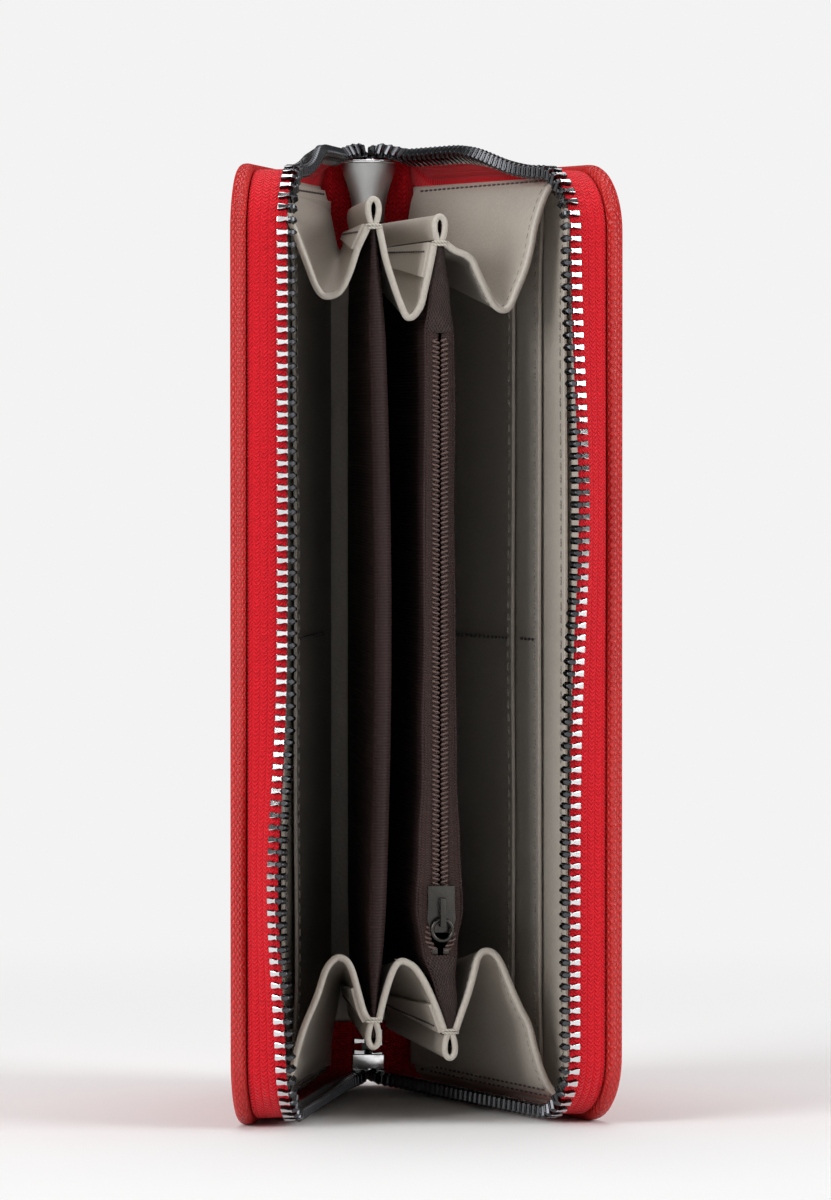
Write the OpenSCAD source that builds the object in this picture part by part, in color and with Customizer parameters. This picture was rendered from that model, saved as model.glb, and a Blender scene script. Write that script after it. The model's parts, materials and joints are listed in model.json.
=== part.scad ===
// A zip-around wallet standing open on one short end, mouth towards -Y and spine at the back.
// Both covers are drawn once, for the front cover, and mirrored in the plane X = 0 for the back cover.
// A cover's own frame has its hinge line at x = 0, y = 0, its inside towards +x and its mouth towards -y.

/* [Wallet] */
// Length of the long side, upright as it stands
wallet_h = 195; // [180:1:210]
// Depth of a cover, from its hinge line to the mouth edge
cover_d = 100; // [90:1:112]
// Radius of the two mouth corners of a cover
corner_r = 14; // [10:1:20]
// Angle of each cover away from closed, as the wallet stands open
half_open = 15.5; // [12:0.5:20]

/* [Covers] */
// Thickness of a cover at its turned edge
cover_t = 3.2; // [2.4:0.1:4]
// Thickness of the outer leather
leather_t = 1.2; // [0.8:0.1:1.6]
// Width of the leather turned in round the board
rim_w = 7; // [6:0.5:9]
// Thickness of the lining
lining_t = 0.8; // [0.5:0.1:1]
// How far the spine leather stops short of each end
spine_dip = 5; // [3:0.5:7]
// Gap between neighbouring pieces that must not touch
gap = 0.3; // [0.2:0.05:0.5]

/* [Main zip] */
// Width of tape that shows between cover and teeth
tape_w = 6.4; // [5:0.2:8]
// Thickness of the tape
tape_t = 0.7; // [0.5:0.1:0.9]
// Width of tape sewn down inside the cover
seam_w = 5; // [4:0.5:6]
// Setback of the tape from the cover's edge
tape_inset = 1.2; // [0.8:0.1:2]
// Spacing of the teeth on one tape
tooth_pitch = 2.44; // [2:0.02:3]
// Length of a tooth across the tape
tooth_l = 3.9; // [3:0.1:4.5]
// Thickness of the chain of teeth
chain_t = 2.6; // [2:0.1:3]
// Rise of the tape above square to the cover, along the top
top_lean = 38; // [0:1:45]
// Largest outward lean of the front cover's tape, low down on the long side
front_lean = 34; // [0:1:40]
// Largest outward lean of the back cover's tape, high up on the long side
back_lean = 24; // [0:1:40]

/* [Card pockets] */
// Setback of the longest card panel from the mouth edge
card_setback = 15; // [12:1:20]
// Step from one card panel's edge to the next
card_step = 11; // [8:1:14]
// Thickness of a card panel
panel_t = 0.8; // [0.6:0.1:1]
// How far the card panels stop short of each end
panel_end = 5.5; // [5:0.5:9]

/* [Dividers] */
// Setback of the dividers from the mouth edge
divider_setback = 14; // [12:1:20]
// How far the dividers stop short of each end
divider_end = 11.5; // [11:0.5:18]
// Thickness of the bill divider
bill_t = 1.4; // [1:0.1:2]
// Fan angle of the bill divider, away from square to the spine
bill_fan = 4.4; // [2:0.1:5]
// Largest thickness of the coin pocket
coin_t = 6.6; // [5:0.2:7]
// Fan angle of the coin pocket
coin_fan = 1.4; // [1:0.1:3]
// Thickness of the coin pocket's cloth
cloth_t = 0.6; // [0.4:0.1:0.8]
// Length of the folded leather binding on a divider's end
binding_l = 8; // [6:0.5:10]

/* [Gussets] */
// Thickness of the gusset leather
gusset_t = 1; // [0.7:0.1:1.2]
// Depth of the pleats at the mouth
pleat_depth = 15; // [11:1:20]
// Depth of the pleats at the spine
pleat_depth_back = 7; // [5:1:10]

/* [Sliders and pulls] */
// Length of the main slider
slider_l = 13; // [11:0.5:15]
// Width of the main slider across its shoulders
slider_w = 12; // [11:0.5:14]
// Thickness of a slider plate
slider_plate = 1.1; // [0.8:0.1:1.4]
// Length of the pull tab
pull_l = 30; // [20:1:36]
// Width of the pull tab
pull_w = 7; // [5:0.5:9]
// Length of the coin zip's slider
coin_slider_l = 9.5; // [8:0.5:11]
// Outer diameter of the coin zip's ring
ring_d = 5; // [4:0.5:7]
// Wire diameter of the ring
ring_wire = 0.8; // [0.6:0.1:1]

/* [Hidden] */
$fn = 48;
zip_w = tape_w + tooth_l;                   // from the cover's inside to the tips of the teeth
half_gap = zip_w + 0.1;                     // from a cover's inside to the middle plane, closed
hinge_x = half_gap + cover_t / 2;
hinge_r = cover_t / 2;
pull_t = 1.4;
front_reach = (cover_d - tape_inset + zip_w * sin(front_lean) + (chain_t - tape_t) / 2 * cos(front_lean))
    * cos(half_open) + (cover_t / 2 + zip_w * cos(front_lean)) * sin(half_open);
back_reach = hinge_r + gap + pull_t + 1.6;
hinge_y = (front_reach - back_reach) / 2;   // centres the wallet on the origin

x_rim = cover_t / 2;                        // a cover's inside face
x_seam = x_rim + tape_t;
x_lining = x_seam + lining_t;
cover_start = hinge_r + gap;                // where the lining and panels begin, past the hinge
layer_gap = 0.1;

spine_front = hinge_y - hinge_r;            // the spine's inside face
tail_y = spine_front - gap - slider_plate - chain_t / 2 - 0.15;
tail_half_w = half_gap - 1.8;
tail_gap_x = 1.15;                          // the tape's beaded edge, from the middle plane
bend_top = wallet_h + 3.5;                  // where the chain turns down into the top tail
bend_bottom = 3.2;                          // and where it turns up into the bottom tail
tail_l = 20;
tail_l_bottom = 11;
tooth_grip = 2;                             // how far a tooth grips the tape
jaw = tape_t + 0.1;                         // opening of a tooth's jaws
ends_at = 16;                               // the tape is free of the cover between here and the tail

panel_start = 8.5;                          // the card panels stop this far from the hinge line
bill_x = -3.7;
coin_x = 2;
divider_y = spine_front - 7;                // where the dividers swing, just inside the spine
divider_l = hinge_y - cover_d + divider_setback;
coin_coil = 1.3;                            // side of one row of the coin zip's coil
coin_mid_gap = 1.1;                         // between the two rows of coil, where the slider's post runs
coin_zip_end = 15;                          // how far the coin zip stops short of the pocket's ends
coin_taper = 18;                            // over which the pocket thins towards its pinched ends

// ---- Helpers ----

function unit(v) = v / norm(v);
function mix(a, b, t) = a + (b - a) * t;
function bump(t) = 0.5 - 0.5 * cos(180 * max(0, min(1, t)));
function bezier(p, t) = let (k = 1 - t)
    k * k * k * p[0] + 3 * k * k * t * p[1] + 3 * k * t * t * p[2] + t * t * t * p[3];

// A closed solid through rings of points, with the same number of points in each ring.
module skin(rings) {
    n = len(rings[0]);
    last = len(rings) - 1;
    points = [for (ring = rings) for (p = ring) p];
    sides = [for (i = [0 : last - 1]) for (j = [0 : n - 1])
        let (a = i * n + j, b = i * n + (j + 1) % n) each [[a, b, b + n], [a, b + n, a + n]]];
    caps = [[for (j = [n - 1 : -1 : 0]) j], [for (j = [0 : n - 1]) last * n + j]];
    polyhedron(points, concat(sides, caps), convexity = 6);
}

// Draws a 2D outline in the cover's (y, z) plane and makes it t thick from x0 inwards.
module plate(x0, t) {
    translate([x0, 0, 0]) rotate([90, 0, 90]) linear_extrude(t) children();
}

// Draws a 2D outline in the (x, z) plane and makes it t thick from y0 towards the spine.
module upright(y0, t) {
    translate([0, y0 + t, 0]) rotate([90, 0, 0]) linear_extrude(t) children();
}

// The front cover's outline, all edges set in by inset, starting start short of the hinge line.
module cover_outline(inset, start, end = undef) {
    r = max(0.5, corner_r - inset);
    top = wallet_h - (is_undef(end) ? inset : end);
    bottom = is_undef(end) ? inset : end;
    mouth = -cover_d + inset;
    translate([mouth + r, bottom]) square([-start - mouth - r, top - bottom]);
    translate([mouth, bottom + r]) square([r + 1, top - bottom - 2 * r]);
    translate([mouth + r, bottom + r]) circle(r);
    translate([mouth + r, top - r]) circle(r);
}

// Puts a piece drawn in the front cover's frame onto the front (side -1) or back (side 1) cover.
module on_cover(side) {
    mirror([side > 0 ? 1 : 0, 0, 0])
        translate([-hinge_x, hinge_y, 0]) rotate([0, 0, -half_open]) children();
}

// The same for a point of the front cover's frame.
function in_row(p) = [
    -hinge_x + p.x * cos(half_open) + p.y * sin(half_open),
    hinge_y - p.x * sin(half_open) + p.y * cos(half_open),
    p.z
];

// Puts a piece drawn upright behind the mouth onto a divider that swings at (x, divider_y).
module on_divider(x, fan) {
    translate([x, divider_y, 0]) rotate([0, 0, fan]) translate([0, -divider_y, 0]) children();
}

// ---- Covers and spine ----

module cover_leather(side) {
    color("#c8202c") on_cover(side) {
        difference() {
            plate(-cover_t / 2, cover_t) cover_outline(0, 0);
            plate(-cover_t / 2 + leather_t, cover_t) cover_outline(rim_w, 2 * hinge_r);
        }
        cylinder(r = hinge_r, h = wallet_h);
    }
}

module cover_board(side) {
    color("#b9a78a") on_cover(side)
        plate(-cover_t / 2 + leather_t, x_seam - (-cover_t / 2 + leather_t))
            cover_outline(rim_w + layer_gap, 2 * hinge_r + layer_gap);
}

module cover_lining(side) {
    color("#b0a899") on_cover(side)
        plate(x_seam, lining_t) cover_outline(tape_inset + tape_t + gap, cover_start);
}

spine_half = hinge_x - hinge_r - gap;

module spine_band(depth, t, trim) {
    height = wallet_h - 2 * (spine_dip + trim);
    translate([-spine_half + trim, spine_front + depth, spine_dip + trim])
        cube([2 * (spine_half - trim), t, height]);
}

module spine_leather() {
    color("#c8202c") spine_band(cover_t - leather_t, leather_t, 0);
}

module spine_board() {
    color("#b9a78a") spine_band(lining_t, cover_t - leather_t - lining_t, 1);
}

module spine_lining() {
    color("#b0a899") spine_band(0, lining_t, 0);
}

// ---- Main zip ----

edge_r = corner_r - tape_inset;
run_side = cover_d - corner_r - ends_at;                // straight run along a short end
run_front = wallet_h - 2 * corner_r;                    // straight run down the long side
run_corner = edge_r * PI / 2;
zip_l = 2 * run_side + 2 * run_corner + run_front;

// Where the tape folds out of the cover, s along it from the top end: [y, z, angle of the outward normal].
function edge_at(s) =
    s < run_side ? [-ends_at - s, wallet_h - tape_inset, 90]
    : s < run_side + run_corner ? let (a = 90 + 90 * (s - run_side) / run_corner)
        [-cover_d + corner_r + edge_r * cos(a), wallet_h - corner_r + edge_r * sin(a), a]
    : s < run_side + run_corner + run_front
        ? [-cover_d + tape_inset, wallet_h - corner_r - (s - run_side - run_corner), 180]
    : s < zip_l - run_side ? let (a = 180 + 90 * (s - run_side - run_corner - run_front) / run_corner)
        [-cover_d + corner_r + edge_r * cos(a), corner_r + edge_r * sin(a), a]
    : [-cover_d + corner_r + (s - zip_l + run_side), tape_inset, 270];

// Outward lean of the tape from square to the cover: risen along the top, bowed on the long side, level below.
bottom_lift = -4;
function side_lean(side, z) = side < 0
    ? front_lean * exp(-pow((z - 0.25 * wallet_h) / 32, 2))
    : back_lean * exp(-pow((z - 0.64 * wallet_h) / 36, 2));
function lean(side, s) = let (at = edge_at(s))
    s < run_side ? top_lean * bump((run_side - s) / (0.7 * run_side))
    : s > zip_l - run_side ? bottom_lift
    : s > zip_l - run_side - run_corner
        ? mix(side_lean(side, at[1]), bottom_lift, bump((s - zip_l + run_side + run_corner) / run_corner))
    : side_lean(side, at[1]) * bump((s - run_side) / run_corner);

// A point of the tape's cross-section: a outwards in the cover's plane, x inwards from the cover's middle.
function tape_point(s, a, x) = let (at = edge_at(s)) [x, at[0] + a * cos(at[2]), at[1] + a * sin(at[2])];

function tape_ring(side, s) =
    let (
        p = lean(side, s), w = tape_w + tooth_grip,
        k = tape_t * (1 - sin(p)) / cos(p)
    ) [
        tape_point(s, -seam_w, x_rim),
        tape_point(s, 0, x_rim),
        tape_point(s, w * sin(p), x_rim + w * cos(p)),
        tape_point(s, w * sin(p) - tape_t * cos(p), x_rim + w * cos(p) + tape_t * sin(p)),
        tape_point(s, -tape_t * cos(p) + k * sin(p), x_seam),
        tape_point(s, -seam_w, x_seam)
    ];

// One tooth: x along it to the head, y across the chain, z along the chain. Its jaws straddle the tape.
module tooth() {
    leg = tooth_l - 1.5;
    difference() {
        rotate([90, 0, 0]) translate([0, 0, -chain_t / 2]) linear_extrude(chain_t)
            polygon([
                [0, -0.65], [leg, -0.65], [leg + 0.3, -0.4], [tooth_l - 0.9, -0.52], [tooth_l, -0.46],
                [tooth_l, 0.46], [tooth_l - 0.9, 0.52], [leg + 0.3, 0.4], [leg, 0.65], [0, 0.65]
            ]);
        translate([-1, -jaw / 2, -1]) cube([1 + tooth_grip + 0.1, jaw, 2]);
    }
}

// Stands children at p, x along dir and z as near along as it can be.
module stand(p, dir, along) {
    x = unit(dir);
    y = unit(cross(along, x));
    z = cross(x, y);
    multmatrix([[x.x, y.x, z.x, p.x], [x.y, y.y, z.y, p.y], [x.z, y.z, z.z, p.z]]) children();
}

tape_steps = 92;
module zip_tape(side) {
    color("#cf1126") on_cover(side)
        skin([for (i = [0 : tape_steps]) tape_ring(side, zip_l * i / tape_steps)]);
}

// The chain lies in the middle of the tape's thickness.
function chain_foot(side, s) = let (p = lean(side, s), a = tape_w * sin(p) - tape_t / 2 * cos(p))
    tape_point(s, a, x_rim + tape_w * cos(p) + tape_t / 2 * sin(p));
function chain_dir(side, s) = let (p = lean(side, s))
    tape_point(s, sin(p), cos(p)) - tape_point(s, 0, 0);

tooth_count = floor(zip_l / tooth_pitch);
module zip_teeth(side) {
    color("#c9ccd0") on_cover(side)
        for (i = [0 : tooth_count - 1])
            let (s = (i + (side < 0 ? 0.25 : 0.75)) * zip_l / tooth_count)
                stand(chain_foot(side, s), chain_dir(side, s),
                    chain_foot(side, s + 0.5) - chain_foot(side, s - 0.5)) tooth();
}

// From the cover to the tail, the tape and its teeth bend freely. These are the front cover's curves:
// across is the distance from the cover, x_tail the place in the tail.
function end_z(end) = end == "top" ? bend_top : bend_bottom;
function end_curve(side, end, x_tail, across) =
    let (
        s = end == "top" ? 0 : zip_l,
        p = lean(side, s),
        toward = in_row([0, 1, 0]) - in_row([0, 0, 0]),
        root = in_row(tape_point(s, across * sin(p) - tape_t / 2 * cos(p),
            x_rim + across * cos(p) + tape_t / 2 * sin(p))),
        start = root + gap * toward,
        stop = [x_tail, tail_y, end_z(end)]
    ) [start, start + 8 * toward, stop + [0, 0, end == "top" ? 4.5 : -1.6], stop];

// A band of even thickness between two rows of points.
module strip(base, edge, t) {
    last = len(base) - 1;
    skin([for (i = [0 : last])
        let (
            along = base[min(last, i + 1)] - base[max(0, i - 1)],
            n = unit(cross(along, edge[i] - base[i])) * t / 2
        ) [base[i] - n, edge[i] - n, edge[i] + n, base[i] + n]]);
}

end_steps = 12;
module zip_tape_end(side, end) {
    base = end_curve(side, end, -tail_half_w, gap);
    edge = end_curve(side, end, -tail_gap_x, tape_w + tooth_grip);
    strip([for (i = [0 : end_steps]) bezier(base, i / end_steps)],
        [for (i = [0 : end_steps]) bezier(edge, i / end_steps)], tape_t);
}

module zip_teeth_end(side, end) {
    base = end_curve(side, end, -tail_half_w, gap);
    foot = end_curve(side, end, -tail_gap_x - tooth_grip, tape_w);
    apart = 0.78;                           // the rows part this far along, where the slider lets them go
    length = norm(bezier(foot, 0.33) - foot[0]) + norm(bezier(foot, 0.67) - bezier(foot, 0.33))
        + norm(foot[3] - bezier(foot, 0.67));
    count = floor(length * apart / tooth_pitch);
    for (i = [0 : count - 1])
        let (t = (i + (side < 0 ? 0.35 : 0.65)) / count * apart, at = bezier(foot, t))
            stand(at, at - bezier(base, t), bezier(foot, t + 0.03) - bezier(foot, t - 0.03)) tooth();
}

module zip_tape_ends(side) {
    color("#cf1126") mirror([side > 0 ? 1 : 0, 0, 0]) for (end = ["top", "bottom"]) zip_tape_end(side, end);
}

module zip_teeth_ends(side) {
    color("#c9ccd0") mirror([side > 0 ? 1 : 0, 0, 0]) for (end = ["top", "bottom"]) zip_teeth_end(side, end);
}

function tail_low(end) = end == "top" ? bend_top - tail_l : bend_bottom + gap;
function tail_height(end) = end == "top" ? tail_l : tail_l_bottom;

module zip_tail_tape(end) {
    color("#b30f22") for (side = [0, 1]) mirror([side, 0, 0])
        translate([-tail_half_w, tail_y - tape_t / 2, tail_low(end)])
            cube([tail_half_w - tail_gap_x, tape_t, tail_height(end) - gap]);
}

// In the tails the two rows of teeth are meshed.
module zip_tail_teeth(end) {
    high = end == "top" ? tail_l - 7 : tail_l_bottom - 5;
    low = tail_low(end) + (end == "top" ? 1.4 : 5.4);
    foot = tooth_l - 1;
    color("#c9ccd0") for (i = [0 : floor(high / tooth_pitch) - 1], side = [-1, 1])
        translate([side * foot, tail_y, low + (i + (side > 0 ? 0.5 : 0)) * tooth_pitch])
            rotate([0, 0, side > 0 ? 180 : 0]) tooth();
}

// The two rows are clamped together at the bottom by one metal box.
module zip_bottom_stop() {
    stop_w = 7;
    color("#d8dadd") translate([-stop_w / 2, tail_y - chain_t / 2 - 0.3, bend_bottom + gap + 0.6])
        difference() {
            cube([stop_w, chain_t + 0.6, 3.2]);
            translate([-1, chain_t / 2 + 0.3 - 0.5, -1]) cube([stop_w / 2 - tail_gap_x + 1, 1, 6]);
            translate([stop_w / 2 + tail_gap_x, chain_t / 2 + 0.3 - 0.5, -1]) cube([stop_w, 1, 6]);
        }
}

// ---- Main slider and pull ----

slider_gap = chain_t + 0.3;                             // between the slider's two plates
slider_low = bend_top - slider_l - 0.5;
slider_throat = 2 * tooth_l - 2 + 0.6;                  // clear width for the meshed chain
slider_foot = slider_throat + 1.8;                      // outer width at the closed end
module slider_outline(w, foot, l) {
    polygon([
        [-foot / 2, 0], [foot / 2, 0], [foot / 2, l * 0.4], [w / 2, l * 0.72], [w / 2 - 0.6, l * 0.92],
        [w * 0.3, l], [-w * 0.3, l], [-w / 2 + 0.6, l * 0.92], [-w / 2, l * 0.72], [-foot / 2, l * 0.4]
    ]);
}

// Two plates, the flanges that turn in along their sides and the post that parts the rows.
module zip_slider_body() {
    tape_way = tape_t + 0.5;
    color("#a9adaf") translate([0, tail_y, slider_low]) {
        for (s = [-1, 1]) {
            upright(s * (slider_gap / 2 + slider_plate / 2) - slider_plate / 2, slider_plate)
                slider_outline(slider_w, slider_foot, slider_l);
            upright(s > 0 ? tape_way / 2 : -slider_gap / 2, slider_gap / 2 - tape_way / 2)
                difference() {
                    slider_outline(slider_w, slider_foot, slider_l * 0.9);
                    translate([0, -1]) slider_outline(slider_w - 1.8, slider_throat, slider_l * 0.9 + 2);
                }
        }
        translate([-0.9, -slider_gap / 2 - 0.1, slider_l - 3.4]) cube([1.8, slider_gap + 0.2, 3.2]);
    }
}

crown_w = 2.4;
crown_l = 6.2;
crown_z = slider_low + slider_l - crown_l - 0.4;
crown_y = tail_y + slider_gap / 2 + slider_plate;
pull_pin_y = hinge_y + hinge_r + gap + pull_t / 2;
pull_pin_z = crown_z + 3.1;
pull_hole_r = 1.5;

// The crown stands over the spine's edge, with an eye for the pull.
module zip_slider_crown() {
    color("#b4b8ba") translate([-crown_w / 2, crown_y, crown_z]) difference() {
        cube([crown_w, pull_pin_y + 2.4 - crown_y, crown_l]);
        translate([-1, pull_pin_y - crown_y, pull_pin_z - crown_z]) rotate([0, 90, 0])
            cylinder(r = pull_hole_r, h = crown_w + 2);
    }
}

// A plain metal tab, hanging behind the spine from a cross pin in the crown's eye.
module zip_pull_tab() {
    eye_w = crown_w + 2 * 0.35;
    pin_r = pull_hole_r - 0.35;
    color("#b4b8ba") translate([0, pull_pin_y, pull_pin_z]) {
        translate([-pull_w / 2, 0, 0]) rotate([0, 90, 0]) cylinder(r = pin_r, h = pull_w);
        difference() {
            upright(-pull_t / 2, pull_t) {
                translate([-pull_w / 2, -pull_l + pull_w / 2]) square([pull_w, pull_l - pull_w / 2 + 1]);
                translate([0, -pull_l + pull_w / 2]) circle(pull_w / 2);
            }
            translate([-eye_w / 2, -5, -crown_l]) cube([eye_w, 10, crown_l + 5]);
        }
    }
}

// ---- Card pockets ----

function panel_x(i) = x_lining + gap + i * (panel_t + layer_gap);

// Panel 3 lies on the lining; 2 and 1 lie on it in turn, each a step deeper in.
module card_pocket(side, n) {
    layer = 3 - n;
    edge = -cover_d + card_setback + layer * card_step;
    color("#b0a899") on_cover(side)
        plate(panel_x(layer), panel_t)
            translate([edge, panel_end]) square([-edge - panel_start, wallet_h - 2 * panel_end]);
}

// ---- Dividers ----

divider_back = divider_y + 1;
divider_z = [divider_end, wallet_h - divider_end];

module bill_divider() {
    color("#2f2226") on_divider(bill_x, -bill_fan)
        translate([-bill_t / 2, divider_l, divider_z[0]])
            cube([bill_t, divider_back - divider_l, divider_z[1] - divider_z[0]]);
}

// A strip of leather folded over a divider's end, open towards the divider.
binding_clear = 0.15;
module binding(x, fan, end) {
    inner = bill_t + 2 * binding_clear;
    outer = inner + 2 * gusset_t;
    top = end == "top";
    color("#b0a899") on_divider(x, fan)
        translate([0, 0, top ? divider_z[1] : divider_z[0]]) mirror([0, 0, top ? 0 : 1])
            upright(divider_l, divider_back - divider_l) difference() {
                union() {
                    translate([-outer / 2, 1.2 - binding_l]) square([outer, binding_l - 1.2]);
                    circle(outer / 2);
                }
                translate([-inner / 2, -binding_l]) square([inner, binding_l + 0.2]);
            }
}

// ---- Coin pocket ----

// Outline of the pocket seen from the mouth, in (x, z): full in the middle, pinched at both ends.
module pocket_outline(trim) {
    w = coin_t / 2 - trim;
    pinch = bill_t / 2 - trim;
    z0 = divider_z[0] + binding_l;
    z1 = divider_z[1] - binding_l;
    polygon([
        [-pinch, divider_z[0] + trim], [pinch, divider_z[0] + trim], [pinch, z0], [w, z0 + coin_taper],
        [w, z1 - coin_taper], [pinch, z1], [pinch, divider_z[1] - trim], [-pinch, divider_z[1] - trim],
        [-pinch, z1], [-w, z1 - coin_taper], [-w, z0 + coin_taper], [-pinch, z0]
    ]);
}

module half_plane(side) {
    translate([side < 0 ? -20 : 0.02, 0]) square([19.98, wallet_h]);
}

// Each wall is half of the pocket's tube and half of its floor, next to the spine.
module coin_wall(side) {
    color("#2b1f22") on_divider(coin_x, coin_fan) {
        upright(divider_l + cloth_t + 0.1, divider_back - divider_l - cloth_t - 0.1) intersection() {
            difference() {
                pocket_outline(0);
                pocket_outline(cloth_t);
            }
            half_plane(side);
        }
        upright(divider_back - cloth_t, cloth_t) intersection() {
            pocket_outline(cloth_t - 0.02);
            half_plane(side);
        }
    }
}

coin_zip_z = [divider_z[0] + coin_zip_end + binding_l, divider_z[1] - coin_zip_end - binding_l];
module coin_tape(side) {
    color("#3b2a28") on_divider(coin_x, coin_fan)
        upright(divider_l, cloth_t) intersection() {
            pocket_outline(0);
            translate([side < 0 ? -20 : coin_mid_gap / 2, coin_zip_z[0]])
                square([20 - coin_mid_gap / 2, coin_zip_z[1] - coin_zip_z[0]]);
        }
}

module coin_coil(side) {
    low = coin_zip_z[0] + 1.5;
    x = side < 0 ? -coin_mid_gap / 2 - coin_coil : coin_mid_gap / 2;
    color("#4a3a3a") on_divider(coin_x, coin_fan)
        translate([x, divider_l - coin_coil, low]) cube([coin_coil, coin_coil, coin_zip_z[1] - low - 1]);
}

// A cloth patch closes the pocket's front between the zip's end and the pinched end.
module coin_patch(end) {
    z = end == "top" ? [coin_zip_z[1] + 0.1, divider_z[1] - binding_l]
        : [divider_z[0] + binding_l, coin_zip_z[0] - 0.1];
    color("#33262a") on_divider(coin_x, coin_fan)
        upright(divider_l, cloth_t) intersection() {
            pocket_outline(0);
            translate([-20, z[0]]) square([40, z[1] - z[0]]);
        }
}

// Two crimped beads of metal end the coil above the patch.
module coin_zip_stop() {
    color("#6d6762") on_divider(coin_x, coin_fan)
        for (s = [-1, 1]) translate([s * (coin_mid_gap / 2 + 0.6) - 0.6, divider_l - 1.1, coin_zip_z[0] + 0.1])
            cube([1.2, 1.1, 1.2]);
}

// ---- Coin slider and ring ----

coin_slider_z = coin_zip_z[0] + 4.5;
coin_front = divider_l - coin_coil - 0.2;
coin_plate = 0.8;
coin_slider_w = 2 * coin_coil + coin_mid_gap + 2.2;

coin_slider_back_w = 4.6;

// The coil runs between a wide front plate with turned flanges and a narrow plate inside the pocket.
module coin_slider_plate(y, w) {
    upright(y, coin_plate)
        translate([0, coin_slider_l]) mirror([0, 1]) slider_outline(w, w - 0.4, coin_slider_l);
}
module coin_slider_body() {
    color("#8f8b86") on_divider(coin_x, coin_fan) translate([0, 0, coin_slider_z]) {
        coin_slider_plate(coin_front - coin_plate, coin_slider_w);
        coin_slider_plate(divider_l + cloth_t + 0.2, coin_slider_back_w);
        for (s = [-1, 1])
            translate([s * (coin_slider_w / 2 - 0.6) - 0.3, coin_front - 0.05, 3])
                cube([0.6, 1.2, coin_slider_l - 3]);
        translate([-0.4, coin_front - 0.1, 0.4])
            cube([0.8, divider_l + cloth_t + 0.4 - coin_front, 2.4]);
    }
}

crown2_w = 1.2;
crown2_l = 6;
crown2_out = 2.6;
crown2_z = coin_slider_z + 1.2;
ring_eye_z = crown2_z + 1.5;
ring_pin_y = coin_front - coin_plate - crown2_out + 1.35;

// A narrow arch on the slider's face; the ring runs through its lower end.
module coin_slider_crown() {
    face = coin_front - coin_plate;
    color("#a8a49e") on_divider(coin_x, coin_fan)
        translate([-crown2_w / 2, face - crown2_out, crown2_z]) difference() {
            cube([crown2_w, crown2_out, crown2_l]);
            translate([-1, ring_pin_y - face + crown2_out, ring_eye_z - crown2_z]) rotate([0, 90, 0])
                cylinder(r = ring_wire / 2 + 0.25, h = crown2_w + 2);
        }
}

// The ring hangs from the crown, its wire through the eye.
module coin_pull_ring() {
    r = (ring_d - ring_wire) / 2;
    color("#b5b1aa") on_divider(coin_x, coin_fan)
        translate([0, ring_pin_y, ring_eye_z - r]) rotate([90, 0, 0])
            rotate_extrude() translate([r, 0]) circle(ring_wire / 2, $fn = 24);
}

// ---- Gussets ----

function bisector(d0, d1) =
    let (m = unit([-(d0.y + d1.y), d0.x + d1.x])) m / max(0.5, m * [-d0.y, d0.x]);
function on_line(a, b, p) = let (e = unit([b.x - a.x, b.y - a.y])) [a.x + e.x * p.x, a.y + e.y * p.x, p.y];

valley_r = 1.6;
pleat_steps = 10;                                        // rings from the mouth to the back
narrowest_pleat = 2.6 * gusset_t;                       // the two legs just clear each other

// A folded sheet's cross-section: the points (distance from a towards b, z), thickened to both sides.
function fold_ring(a, b, pts) =
    let (
        last = len(pts) - 1,
        side = [for (i = [0 : last])
            gusset_t / 2 * bisector(unit(pts[max(1, i)] - pts[max(1, i) - 1]),
                unit(pts[min(last, i + 1)] - pts[min(last, i + 1) - 1]))]
    ) concat([for (i = [0 : last]) on_line(a, b, pts[i] + side[i])],
        [for (i = [last : -1 : 0]) on_line(a, b, pts[i] - side[i])]);

// One pleat of the top end, from height za at a (on the cover) to zb at b (on a divider), depth below zb.
function pleat_ring(a, b, za, zb, depth) =
    let (w = norm([b.x - a.x, b.y - a.y]), low = zb - depth, r = min(valley_r, w / 4.5))
    fold_ring(a, b, [
        [0, za], [w / 2 - 1.4 * r, low + 1.6 * r], [w / 2 - 0.5 * r, low + 0.3 * r],
        [w / 2 + 0.5 * r, low + 0.3 * r], [w / 2 + 1.4 * r, low + 1.6 * r], [w, zb]
    ]);

cover_side = panel_x(3) + gusset_t / 2 + gap;           // clear of the top card panel
divider_side = bill_t / 2 + binding_clear + 1.5 * gusset_t + gap;
gusset_cover_y = [-cover_d + card_setback - 1, -panel_start - 1];
gusset_divider_y = [divider_l + 0.5, divider_back - 3];
gusset_cover_z = wallet_h - panel_end - 1;
gusset_divider_z = wallet_h - divider_end - 2;

function cover_edge(i) = in_row([cover_side, gusset_cover_y[i], 0]);
function divider_edge(x, fan, side, i) = let (dx = side * divider_side, dy = gusset_divider_y[i] - divider_y)
    [x + dx * cos(fan) - dy * sin(fan), divider_y + dx * sin(fan) + dy * cos(fan), 0];

module at_end(end) {
    translate([0, 0, end == "top" ? 0 : wallet_h]) mirror([0, 0, end == "top" ? 0 : 1]) children();
}

// A pleat between two lines, each given by its mouth and back points. It ends where the legs would meet.
module pleat(a, b, za, zb) {
    mouth_w = norm(b[0] - a[0]);
    back_w = norm(b[1] - a[1]);
    reach = min(1, (mouth_w - narrowest_pleat) / max(0.01, mouth_w - back_w));
    skin([for (i = [0 : pleat_steps]) let (t = reach * i / pleat_steps)
        pleat_ring(mix(a[0], a[1], t), mix(b[0], b[1], t), za, zb, mix(pleat_depth, pleat_depth_back, t))]);
}

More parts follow.
